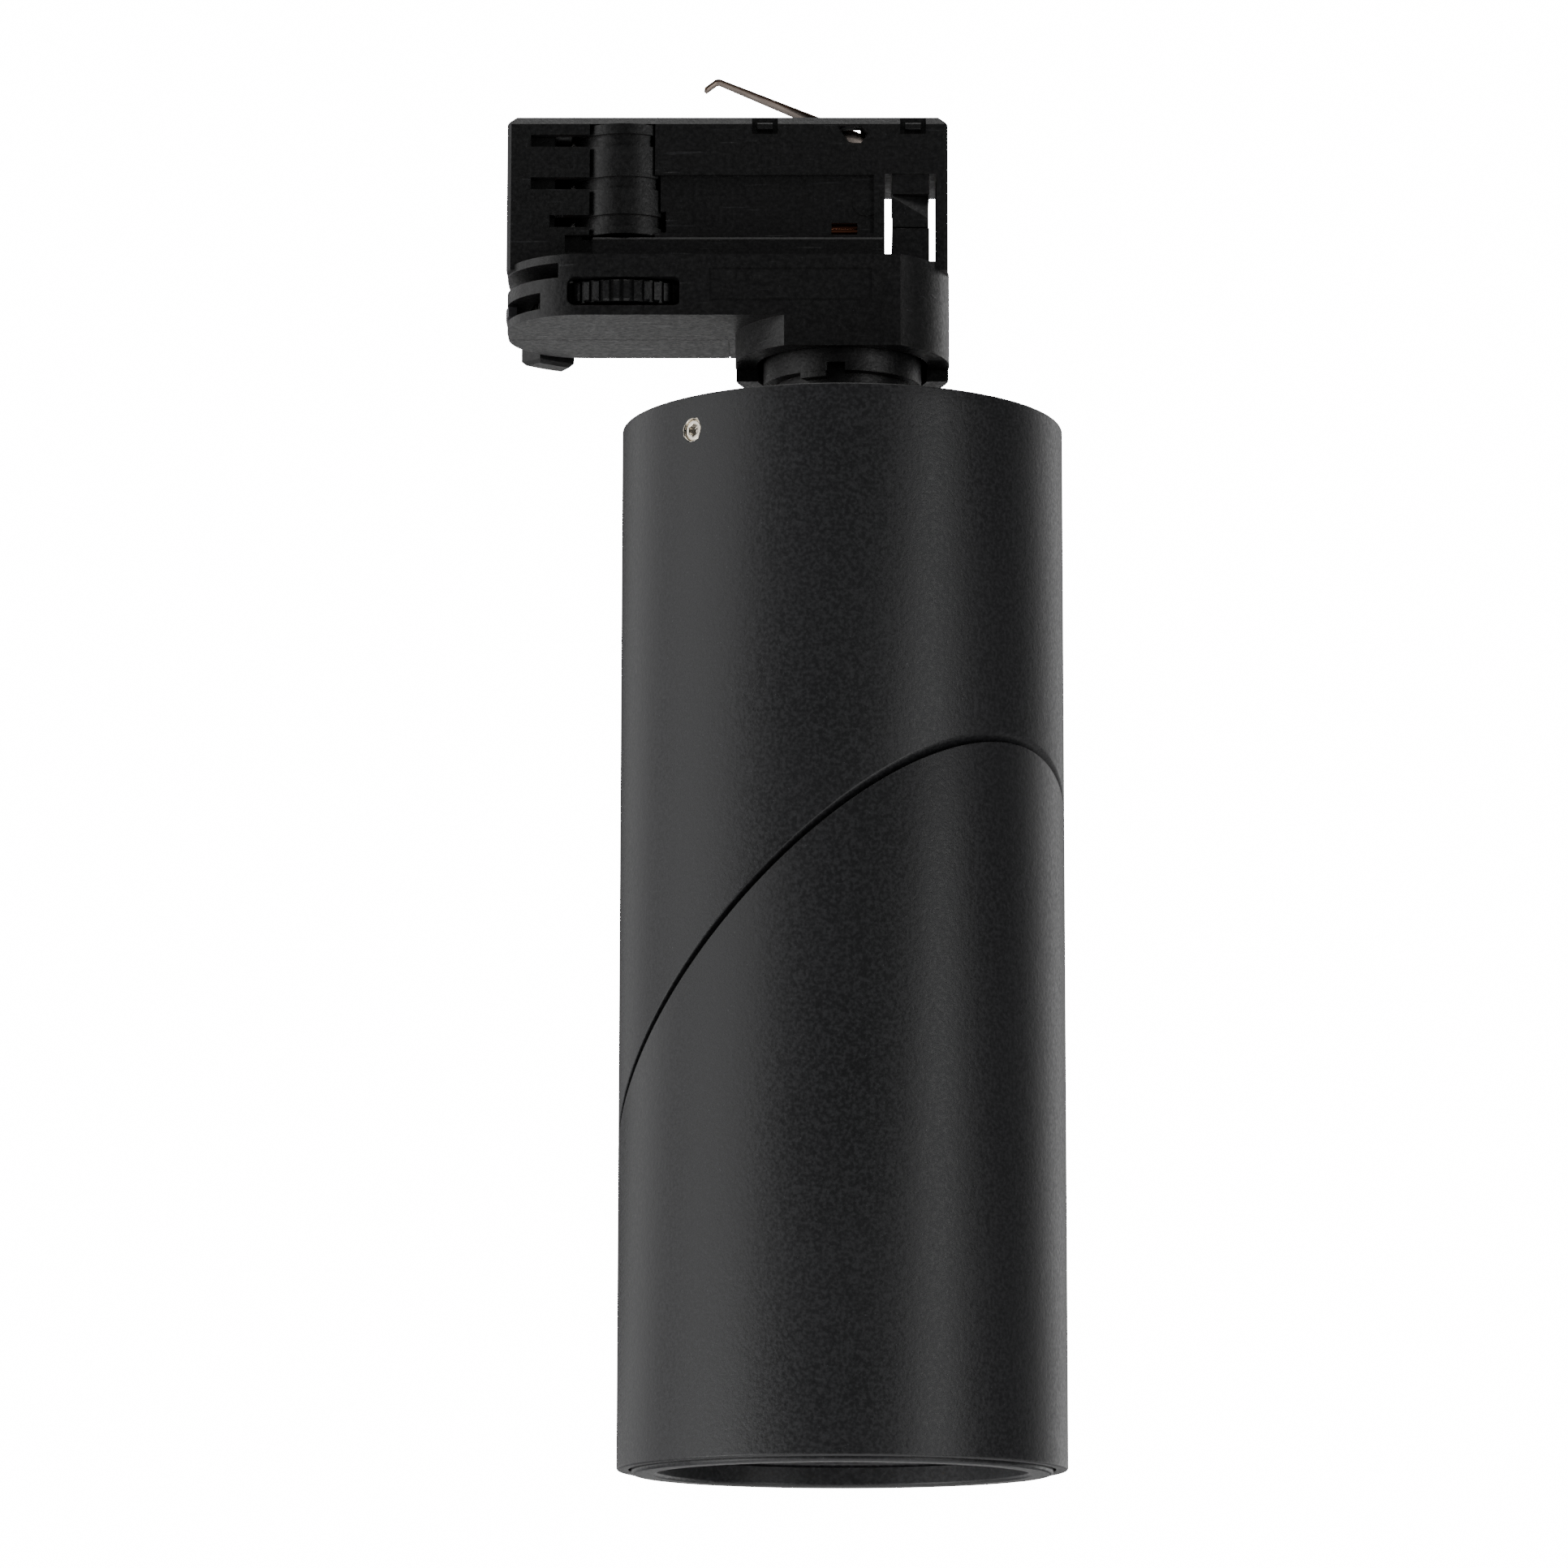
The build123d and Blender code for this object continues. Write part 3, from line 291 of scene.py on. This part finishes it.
# ---------------------------------------------------------------- surfaces
def grid_mesh(name, points, closed_u=False, closed_v=False, slot=None, smooth=True):
    """Mesh of a (rows, columns, 3) grid; each cell is a quad, wrapping round where closed."""
    rows, columns = points.shape[:2]
    i = np.arange(rows if closed_u else rows - 1)[:, None]
    j = np.arange(columns if closed_v else columns - 1)[None, :]
    i2, j2 = (i + 1) % rows, (j + 1) % columns
    quads = np.stack([i * columns + j, i2 * columns + j, i2 * columns + j2, i * columns + j2], axis=-1)
    return mesh_object(name, points.reshape(-1, 3), quads.reshape(-1, 4), slot, smooth)


def mesh_object(name, vertices, quads, slot=None, smooth=True):
    """Object at the origin from vertex and quad arrays, with faces turned outwards."""
    mesh = bpy.data.meshes.new(name)
    mesh.from_pydata(vertices.tolist(), [], quads.tolist())
    mesh.validate()
    if signed_volume(vertices, quads) < 0:
        mesh.flip_normals()
    if smooth:
        mesh.polygons.foreach_set("use_smooth", np.ones(len(mesh.polygons), bool))
    obj = bpy.data.objects.new(name, mesh)
    bpy.context.scene.collection.objects.link(obj)
    if slot:
        mesh.materials.append(finish_of(slot))
    return obj


def signed_volume(vertices, quads):
    """Sixth of the summed triple products of the faces' triangles: positive when they face out."""
    total = 0.0
    for a, b, c in ((0, 1, 2), (0, 2, 3)):
        p, q, r = vertices[quads[:, a]], vertices[quads[:, b]], vertices[quads[:, c]]
        total += np.einsum("ij,ij->i", p, np.cross(q, r)).sum()
    return total / 6.0


def rounded_loop(corners, radii, steps=5):
    """Closed outline with each corner replaced by an arc tangent to its two sides."""
    corners = np.array(corners, float)
    outline = []
    for k, radius in enumerate(radii):
        here, before, after = corners[k], corners[k - 1], corners[(k + 1) % len(corners)]
        to_before = (before - here) / np.linalg.norm(before - here)
        to_after = (after - here) / np.linalg.norm(after - here)
        half = math.acos(np.clip(to_before @ to_after, -1, 1)) / 2
        reach = radius / math.tan(half)
        start, end = here + to_before * reach, here + to_after * reach
        middle = (to_before + to_after) / np.linalg.norm(to_before + to_after)
        centre = here + middle * radius / math.sin(half)
        t = np.linspace(0, 1, steps)[:, None]
        arm = (1 - t) * (start - centre) + t * (end - centre)
        outline.append(centre + arm / np.linalg.norm(arm, axis=1)[:, None] * radius)
    return np.concatenate(outline)


def ring_points(angle, r, z):
    """Points at radius r and height z for each angle: (r cos angle, r sin angle, z)."""
    x, y = r * np.cos(angle), r * np.sin(angle)
    return np.stack([x, y, np.broadcast_to(z, x.shape)], axis=-1)


def turned(name, outline, slot, turns=256):
    """Body of revolution: the closed (radius, z) outline carried round the vertical axis."""
    angle = np.linspace(0, 2 * math.pi, turns, endpoint=False)[:, None]
    r, z = outline[None, :, 0], outline[None, :, 1]
    return grid_mesh(name, ring_points(angle, r, z), True, True, slot)


def tube_outline(outer, inner, edge, cut_edge, rise, wall_rows):
    """Section of a housing wall as rows of (radius, which end, offset from that end).

    Every corner is a quarter circle: wide on the outer edges, tighter inside.
    """
    quarter = np.linspace(0, math.pi / 2, 6)
    rows = []
    for radius, at_end, rounding in ((outer, 0, cut_edge), (outer, 1, edge),
                                     (inner, 1, edge * 0.6), (inner, 0, cut_edge * 0.6)):
        inward = -1 if radius == outer else 1
        sweep = quarter if (radius == outer) == (at_end == 1) else quarter[::-1]
        lift = rise if at_end == 0 else -rise
        for a in sweep:
            corner = radius + inward * rounding * (1 - math.cos(a))
            rows.append((corner, at_end, lift * rounding * (1 - math.sin(a))))
        if radius == outer and at_end == 0:
            rows += [(outer, 1, -rise * depth) for depth in wall_rows]
    return np.array(rows)


def oblique_tube(name, slot, outer, inner, level_end, upper, gap, edge, cut_edge, pits=()):
    """Tube with one square end and one oblique end, and round pits pressed into its outside.

    Each angle carries the wall's section. Its square end stands at level_end, and its other
    end at the cut plane's height there: centre height + radius x cos(angle - heading), moved
    half the gap along the axis. A pit moves the points inside its circle inwards by its depth.
    """
    fine = np.linspace(-1.0, 1.0, 61)
    angles = [np.linspace(0, 2 * math.pi, 361)[:-1]]
    angles += [(pit[0] + fine * pit[2] * 1.5 / outer) % (2 * math.pi) for pit in pits]
    angle = np.unique(np.round(np.concatenate(angles), 6))
    depths = [level_end - height + fine * radius * 1.5 for _, height, radius, _ in pits]
    depths = np.unique(np.concatenate(depths))[::-1] if pits else ()
    rise = 1 if upper else -1
    rows = tube_outline(outer, inner, edge, cut_edge, rise, depths)
    r, at_end, offset = rows[None, :, 0], rows[None, :, 1], rows[None, :, 2]
    turn = angle[:, None]
    shift = gap / 2 * math.sqrt(2) * rise
    cut_level = ELBOW[2] + shift + r * np.cos(turn - CUT_HEADING)
    z = np.where(at_end > 0.5, level_end, cut_level) + offset
    r = np.broadcast_to(r, z.shape).copy()
    for heading, height, radius, depth in pits:
        away = (turn - heading + math.pi) % (2 * math.pi) - math.pi
        apart = np.hypot(away * outer, z - height)
        r[(apart < radius) & (r > outer - 1e-6)] = outer - depth
    return grid_mesh(name, ring_points(turn, r, z), True, True, slot)


# ---------------------------------------------------------------- settings
class SpringSettings(bpy.types.PropertyGroup):
    """Sizes of the earth spring's leaf."""
    length: bpy.props.FloatProperty(name="Length", description="Root to knee", default=31.9 * MM,
                                    unit="LENGTH")
    rise: bpy.props.FloatProperty(name="Rise", description="Slope of the leaf above the block",
                                  default=math.radians(22.8), subtype="ANGLE")
    tip: bpy.props.FloatProperty(name="Tip", description="Length of the bent tip", default=3.3 * MM,
                                 unit="LENGTH")
    root_width: bpy.props.FloatProperty(name="Root width", description="Width at the root",
                                        default=8.0 * MM, unit="LENGTH")
    tip_width: bpy.props.FloatProperty(name="Tip width", description="Width at the knee",
                                       default=3.5 * MM, unit="LENGTH")
    thickness: bpy.props.FloatProperty(name="Thickness", description="Sheet thickness",
                                       default=0.5 * MM, unit="LENGTH")


class LampSettings(bpy.types.PropertyGroup):
    """Sizes of the housings, their screws and the optics."""
    inner: bpy.props.FloatProperty(name="Inner radius", description="Inside radius of the tubes",
                                   default=40.2 * MM, unit="LENGTH")
    gap: bpy.props.FloatProperty(name="Gap", description="Gap between the halves, square to the cut",
                                 default=1.1 * MM, unit="LENGTH")
    screw_depth: bpy.props.FloatProperty(name="Screw depth", description="Grub screws below the top",
                                         default=6.6 * MM, unit="LENGTH")
    screw_radius: bpy.props.FloatProperty(name="Screw radius", description="Outside radius of a grub screw",
                                          default=2.1 * MM, unit="LENGTH")
    socket: bpy.props.FloatProperty(name="Socket", description="Hexagon across its flats",
                                    default=2.0 * MM, unit="LENGTH")
    mouth: bpy.props.FloatProperty(name="Mouth", description="Baffle's radius at the bezel",
                                   default=35.1 * MM, unit="LENGTH")
    throat: bpy.props.FloatProperty(name="Throat", description="Reflector's radius at the light source",
                                    default=9.9 * MM, unit="LENGTH")
    facets: bpy.props.IntProperty(name="Facets", description="Facets round the reflector", default=36)
    rings: bpy.props.IntProperty(name="Rings", description="Rows of facets along the reflector", default=9)
    ridges: bpy.props.IntProperty(name="Ridges", description="Ridges along the baffle", default=9)


class StageSettings(bpy.types.PropertyGroup):
    """Camera and light of the studio."""
    distance: bpy.props.FloatProperty(name="Distance", description="Camera to the swivel axis",
                                      default=1.202, unit="LENGTH")
    eye: bpy.props.FloatProperty(name="Eye height", description="Camera height from the seat plane",
                                 default=-0.3117, unit="LENGTH")
    pitch: bpy.props.FloatProperty(name="Pitch", description="Upward tilt of the camera",
                                   default=math.radians(10.11), subtype="ANGLE")
    lens: bpy.props.FloatProperty(name="Lens", description="Focal length in millimetres", default=146.2)
    shift: bpy.props.FloatVectorProperty(name="Shift", description="Sideways and upward shift", size=2,
                                         default=(-0.0372, -0.009))
    glow: bpy.props.FloatProperty(name="Floor glow", description="Light given off by the pale floor",
                                  default=0.6)
    backdrop: bpy.props.FloatProperty(name="Backdrop", description="Brightness of the white surround",
                                      default=16.0)
    ambient: bpy.props.FloatProperty(name="Ambient", description="Light that the surround casts",
                                     default=0.05)
    floor: bpy.props.FloatProperty(name="Floor", description="Height of the floor", default=-1.6,
                                   unit="LENGTH")
    floor_radius: bpy.props.FloatProperty(name="Floor radius", description="Radius of the round floor",
                                          default=1.6, unit="LENGTH")


# ---------------------------------------------------------------- pieces
def make_spring(settings):
    """Earth spring: a strip carried along its bent centre line.

    The centre line runs straight from the root to the knee, turns down on a small arc and
    ends in the tip. The width narrows evenly with length, and a rounded rectangle is its section.
    """
    rise, bend = settings.rise, math.radians(60.0)
    knee = 1.1 * MM
    straight = np.linspace(0, settings.length - knee * math.tan(bend / 2), 40)
    run = np.stack([-np.cos(rise) * straight, np.sin(rise) * straight], axis=1)
    turn = np.linspace(0, bend, 10)[1:]
    heading = rise - turn
    step = knee * (turn[1] - turn[0])
    arc = run[-1] + np.cumsum(np.stack([-np.cos(heading), np.sin(heading)], axis=1) * step, axis=0)
    tail = np.linspace(0, settings.tip - knee * math.tan(bend / 2), 8)[1:, None]
    tail = arc[-1] + tail * np.array([-math.cos(rise - bend), math.sin(rise - bend)])
    line = np.concatenate([run, arc, tail])
    along = np.gradient(line, axis=0)
    along /= np.linalg.norm(along, axis=1)[:, None]
    length = np.concatenate([[0], np.cumsum(np.linalg.norm(np.diff(line, axis=0), axis=1))])
    share = np.clip(length / settings.length, 0, 1)
    width = settings.root_width + (settings.tip_width - settings.root_width) * share
    half = settings.thickness / 2
    section = rounded_loop([(-1, -1), (1, -1), (1, 1), (-1, 1)], [0.5] * 4, 4)
    side = section[None, :, 0] * half * 0.99
    edge = np.sign(section[None, :, 1]) * (width[:, None] / 2 - half) + section[None, :, 1] * half
    ends = np.ones(len(line))
    ends[[0, -1]] = 0.0
    side = side * ends[:, None]
    points = np.stack([
        SPRING_ROOT[0] + line[:, 0, None] - along[:, 1, None] * side,
        edge * np.maximum(ends, 0.02)[:, None],
        SPRING_ROOT[2] + line[:, 1, None] + along[:, 0, None] * side,
    ], axis=-1)
    spring = grid_mesh("earth_spring_leaf", points, False, True, "bronze_spring")
    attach(spring, "earth_spring")
    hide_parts("earth_spring")


def make_housings(settings):
    """Both housing tubes with rounded rims, and pits in the upper one for its grub screws."""
    height = HOUSING_TOP - settings.screw_depth
    pits = [(CUT_HEADING + turn, height, settings.screw_radius + 0.06 * MM, 1.9 * MM)
            for turn in (math.pi / 2, -math.pi / 2)]
    upper = oblique_tube("upper_housing_tube", "black_powder_coat", HOUSING_RADIUS, settings.inner,
                         HOUSING_TOP, True, settings.gap, 0.35 * MM, 0.4 * MM, pits)
    lower = oblique_tube("lower_housing_tube", "black_powder_coat", HOUSING_RADIUS, settings.inner,
                         HOUSING_END, False, settings.gap, 0.5 * MM, 0.25 * MM)
    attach(upper, "upper_lamp")
    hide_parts("upper_housing")
    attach(lower, "lower_lamp")
    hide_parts("lower_housing")


def around(heading, out, side, up, height):
    """Points given outwards, sideways and up about a horizontal axis at a heading."""
    x = out * math.cos(heading) - side * math.sin(heading)
    y = out * math.sin(heading) + side * math.cos(heading)
    return np.stack([x, y, height + up], axis=-1)


def make_grub_screws(settings):
    """Two socket grub screws, each with the chipped bright rim of its hole.

    A screw is one profile turned about its axis: side, bevel, face, then the socket's wall,
    whose radius follows a hexagon, flats / (2 cos(angle to the nearest flat)), and a cone.
    The rim is a flat ring whose outer radius wavers with three sine waves.
    """
    angle = np.linspace(0, 2 * math.pi, 97)[:-1][:, None]
    flat = (angle + math.pi / 6) % (math.pi / 3) - math.pi / 6
    hexagon = 1.0 / np.cos(flat)
    outer, socket = settings.screw_radius, settings.socket / 2
    face = HOUSING_RADIUS - 0.3 * MM
    depths = np.array([6.6, 0.35, 0.1, 0.0, 0.0, 0.12, 1.4, 1.4, 1.75]) * MM
    radii = np.array([outer, outer, outer - 0.16 * MM, outer - 0.3 * MM, socket + 0.2 * MM, 0, 0, 0, 0])
    radii = np.broadcast_to(radii, (len(angle), len(radii))).copy()
    radii[:, 5:7] = socket * hexagon
    radii[:, 7] = socket * 0.9
    radii[:, 8] = 0.01 * MM
    height = HOUSING_TOP - settings.screw_depth
    screws, rims = [], []
    for turn in (math.pi / 2, -math.pi / 2):
        heading = CUT_HEADING + turn
        side, up = radii * np.cos(angle), radii * np.sin(angle)
        out = np.broadcast_to(face - depths, side.shape)
        screws.append(around(heading, out, side, up, height))
        waver = 0.12 + 0.1 * np.sin(3 * angle + turn) + 0.07 * np.sin(7 * angle + 1)
        waver = waver + 0.05 * np.sin(13 * angle)
        spread = np.array([0.0, 0.15, 1.0, 1.0])
        ring = outer + 0.04 * MM + np.maximum(waver, 0.02) * MM * spread
        side, up = ring * np.cos(angle), ring * np.sin(angle)
        skin = np.sqrt(HOUSING_RADIUS ** 2 - side ** 2)
        out = skin + np.array([-0.6, 0.03, 0.015, -0.02]) * MM
        rims.append(around(heading, out, side, up, height))
    for i, (screw, rim) in enumerate(zip(screws, rims)):
        piece = grid_mesh(f"grub_screw_{i + 1}", screw, True, False, "nickel")
        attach(piece, "upper_lamp")
        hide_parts("grub_screws")
        piece = grid_mesh(f"grub_hole_rim_{i + 1}", rim, True, False, "nickel")
        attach(piece, "upper_lamp")


def make_optics(settings):
    """Faceted reflector and ribbed baffle.

    The reflector's radius follows the CAD dish, throat + (mouth - throat) sqrt(1 - t^2), and
    its facets come from few straight steps round and along, each cell flat. The baffle is a
    cone whose wall carries evenly spaced ridges, a raised cosine along its depth.
    """
    low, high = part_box("reflector")
    mouth, throat = high.x - 1.0 * MM, settings.throat
    t = np.linspace(0, 1, settings.rings + 1)
    inside = throat + (mouth - throat) * np.sqrt(1 - t ** 2)
    level = low.z + (high.z - low.z) * t
    r = np.concatenate([inside, inside[::-1] + 0.9 * MM])
    z = np.concatenate([level, level[::-1]])
    angle = np.linspace(0, 2 * math.pi, settings.facets, endpoint=False)[:, None]
    dish = grid_mesh("reflector_dish", ring_points(angle, r, z), True, True, "reflector_mirror", smooth=False)
    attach(dish, "lower_lamp")
    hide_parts("reflector")
    low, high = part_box("baffle")
    bezel_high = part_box("bezel")[1]
    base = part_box("front_glass")[1].x
    mouth, neck = settings.mouth, base - 2.0 * MM
    t = np.linspace(0, 1, settings.ridges * 10 + 1)
    wave = 0.5 - 0.5 * np.cos(2 * math.pi * settings.ridges * t)
    inner = mouth + (neck - mouth) * t - wave * 0.35 * MM + 0.35 * MM
    floor, roof = bezel_high.z + 0.05 * MM, high.z
    level = floor + (roof - floor) * t
    back = np.array([[neck + 2.4 * MM, roof], [neck + 2.4 * MM, roof - 1.5 * MM],
                     [mouth + 1.8 * MM, floor + 2 * MM], [high.x, floor + 2 * MM], [high.x, floor]])
    outline = np.concatenate([np.stack([inner, level], axis=1), back])
    cone = turned("baffle_cone", outline, "baffle_black")
    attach(cone, "lower_lamp")
    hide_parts("baffle")


def look_at(obj, place, target):
    """Put a light at a place and turn it towards a target."""
    direction = (np.array(target) - np.array(place)).tolist()
    obj.location = place
    obj.rotation_euler = Vector(direction).to_track_quat("-Z", "Y").to_euler()


def make_light(name, place, target, size, power):
    lamp = bpy.data.lights.new(name, "AREA")
    lamp.shape, lamp.size, lamp.size_y = "RECTANGLE", size[0], size[1]
    lamp.energy = power
    obj = bpy.data.objects.new(name, lamp)
    bpy.context.scene.collection.objects.link(obj)
    look_at(obj, place, target)


def make_floor(settings):
    """Round pale floor below the lamp, which glows a little."""
    radius = np.linspace(0.001, settings.floor_radius, 5)[:, None]
    angle = np.linspace(0, 2 * math.pi, 129)[None, :-1]
    floor = grid_mesh("floor", ring_points(angle, radius, settings.floor), False, True)
    material, g = new_material("pale floor")
    cloud = g.noise(3.0, 3.0, 0.5)
    g.finish(Base_Color=g.mix(cloud, (0.84, 0.84, 0.84, 1.0), (0.8, 0.8, 0.8, 1.0)), Roughness=0.8,
             Emission_Color=(1.0, 1.0, 1.0, 1.0), Emission_Strength=settings.glow)
    floor.data.materials.append(material)


def make_surround(settings):
    """White surround that looks bright but casts little light."""
    world = bpy.data.worlds.new("surround")
    world.use_nodes = True
    tree = world.node_tree
    background = tree.nodes["Background"]
    background.inputs["Color"].default_value = (1.0, 1.0, 1.0, 1.0)
    path = tree.nodes.new("ShaderNodeLightPath")
    strength = tree.nodes.new("ShaderNodeMapRange")
    strength.inputs["To Min"].default_value = settings.ambient
    strength.inputs["To Max"].default_value = settings.backdrop
    tree.links.new(path.outputs["Is Camera Ray"], strength.inputs["Value"])
    tree.links.new(strength.outputs["Result"], background.inputs["Strength"])
    bpy.context.scene.world = world


def make_lights():
    """Soft boxes and strips round the lamp, each with its place, target, size and power."""
    middle = (0.0, 0.0, -0.1)
    make_light("left soft box", (-1.47, -0.48, 0.0), middle, (1.5, 1.9), 12.0)
    make_light("right strip", (0.98, -0.90, -0.35), middle, (0.36, 1.7), 6.5)
    make_light("back left", (-1.2, 0.85, 0.0), middle, (1.0, 1.9), 5.5)
    make_light("back right", (0.95, 1.15, 0.0), middle, (0.9, 1.9), 6.5)
    make_light("top", (-0.1, -0.15, 1.3), middle, (1.4, 0.9), 8.0)
    make_light("left low", (-1.05, -0.6, -0.85), (0.0, 0.0, -0.2), (1.1, 0.5), 7.0)
    make_light("back low", (0.0, 1.5, -0.40), (0.0, 0.0, -0.02), (2.2, 0.5), 2.7)


def make_camera(settings):
    """Long lens in front of the lamp, a little below it and tilted up."""
    camera_data = bpy.data.cameras.new("camera")
    camera_data.sensor_width, camera_data.lens = 36.0, settings.lens
    camera_data.shift_x, camera_data.shift_y = settings.shift
    camera_data.clip_end = 20.0
    camera = bpy.data.objects.new("camera", camera_data)
    camera.location = (0.0, -settings.distance, settings.eye)
    camera.rotation_euler = (math.pi / 2 + settings.pitch, 0.0, 0.0)
    bpy.context.scene.collection.objects.link(camera)
    bpy.context.scene.camera = camera


# ---------------------------------------------------------------- operators
class SPOT_OT_finishes(bpy.types.Operator):
    """Give every CAD node the finish of its slot"""
    bl_idname = "spotlight.finishes"
    bl_label = "Finishes"

    def execute(self, context):
        for part in frame["record"]["subparts"]:
            node = frame["nodes"][part["node"]]
            node.data.materials.clear()
            node.data.materials.append(finish_of(part["material_slot"]))
        return {"FINISHED"}


class SPOT_OT_spring(bpy.types.Operator):
    """Build the bent leaf of the earth spring"""
    bl_idname = "spotlight.spring"
    bl_label = "Earth spring"

    def execute(self, context):
        make_spring(context.scene.spotlight_spring)
        return {"FINISHED"}


class SPOT_OT_housings(bpy.types.Operator):
    """Build both housing tubes"""
    bl_idname = "spotlight.housings"
    bl_label = "Housings"

    def execute(self, context):
        make_housings(context.scene.spotlight_lamp)
        return {"FINISHED"}


class SPOT_OT_screws(bpy.types.Operator):
    """Build the grub screws and the rims of their holes"""
    bl_idname = "spotlight.screws"
    bl_label = "Grub screws"

    def execute(self, context):
        make_grub_screws(context.scene.spotlight_lamp)
        return {"FINISHED"}


class SPOT_OT_optics(bpy.types.Operator):
    """Build the reflector and the baffle"""
    bl_idname = "spotlight.optics"
    bl_label = "Optics"

    def execute(self, context):
        make_optics(context.scene.spotlight_lamp)
        return {"FINISHED"}


class SPOT_OT_stage(bpy.types.Operator):
    """Build the floor, the lights and the camera"""
    bl_idname = "spotlight.stage"
    bl_label = "Stage"

    def execute(self, context):
        settings = context.scene.spotlight_stage
        make_floor(settings)
        make_surround(settings)
        make_lights()
        make_camera(settings)
        return {"FINISHED"}


OPERATORS = (SPOT_OT_finishes, SPOT_OT_spring, SPOT_OT_housings, SPOT_OT_screws, SPOT_OT_optics,
             SPOT_OT_stage)
SETTINGS = {
    "spotlight_spring": SpringSettings,
    "spotlight_lamp": LampSettings,
    "spotlight_stage": StageSettings,
}


class SPOT_PT_panel(bpy.types.Panel):
    """Lists the spotlight's pieces"""
    bl_label = "Spotlight"
    bl_idname = "SPOT_PT_panel"
    bl_space_type = "VIEW_3D"
    bl_region_type = "UI"
    bl_category = "Spotlight"

    def draw(self, context):
        for operator in OPERATORS:
            self.layout.operator(operator.bl_idname)
        for name, group in SETTINGS.items():
            for key in group.__annotations__:
                self.layout.prop(getattr(context.scene, name), key)


CLASSES = (*SETTINGS.values(), *OPERATORS, SPOT_PT_panel)


def register():
    for item in CLASSES:
        bpy.utils.register_class(item)
    for name, group in SETTINGS.items():
        setattr(bpy.types.Scene, name, bpy.props.PointerProperty(type=group))


def unregister():
    for name in SETTINGS:
        delattr(bpy.types.Scene, name)
    for item in reversed(CLASSES):
        bpy.utils.unregister_class(item)


def main():
    register()
    for operator in OPERATORS:
        group, name = operator.bl_idname.split(".")
        getattr(getattr(bpy.ops, group), name)()


if __name__ == "__main__":
    main()
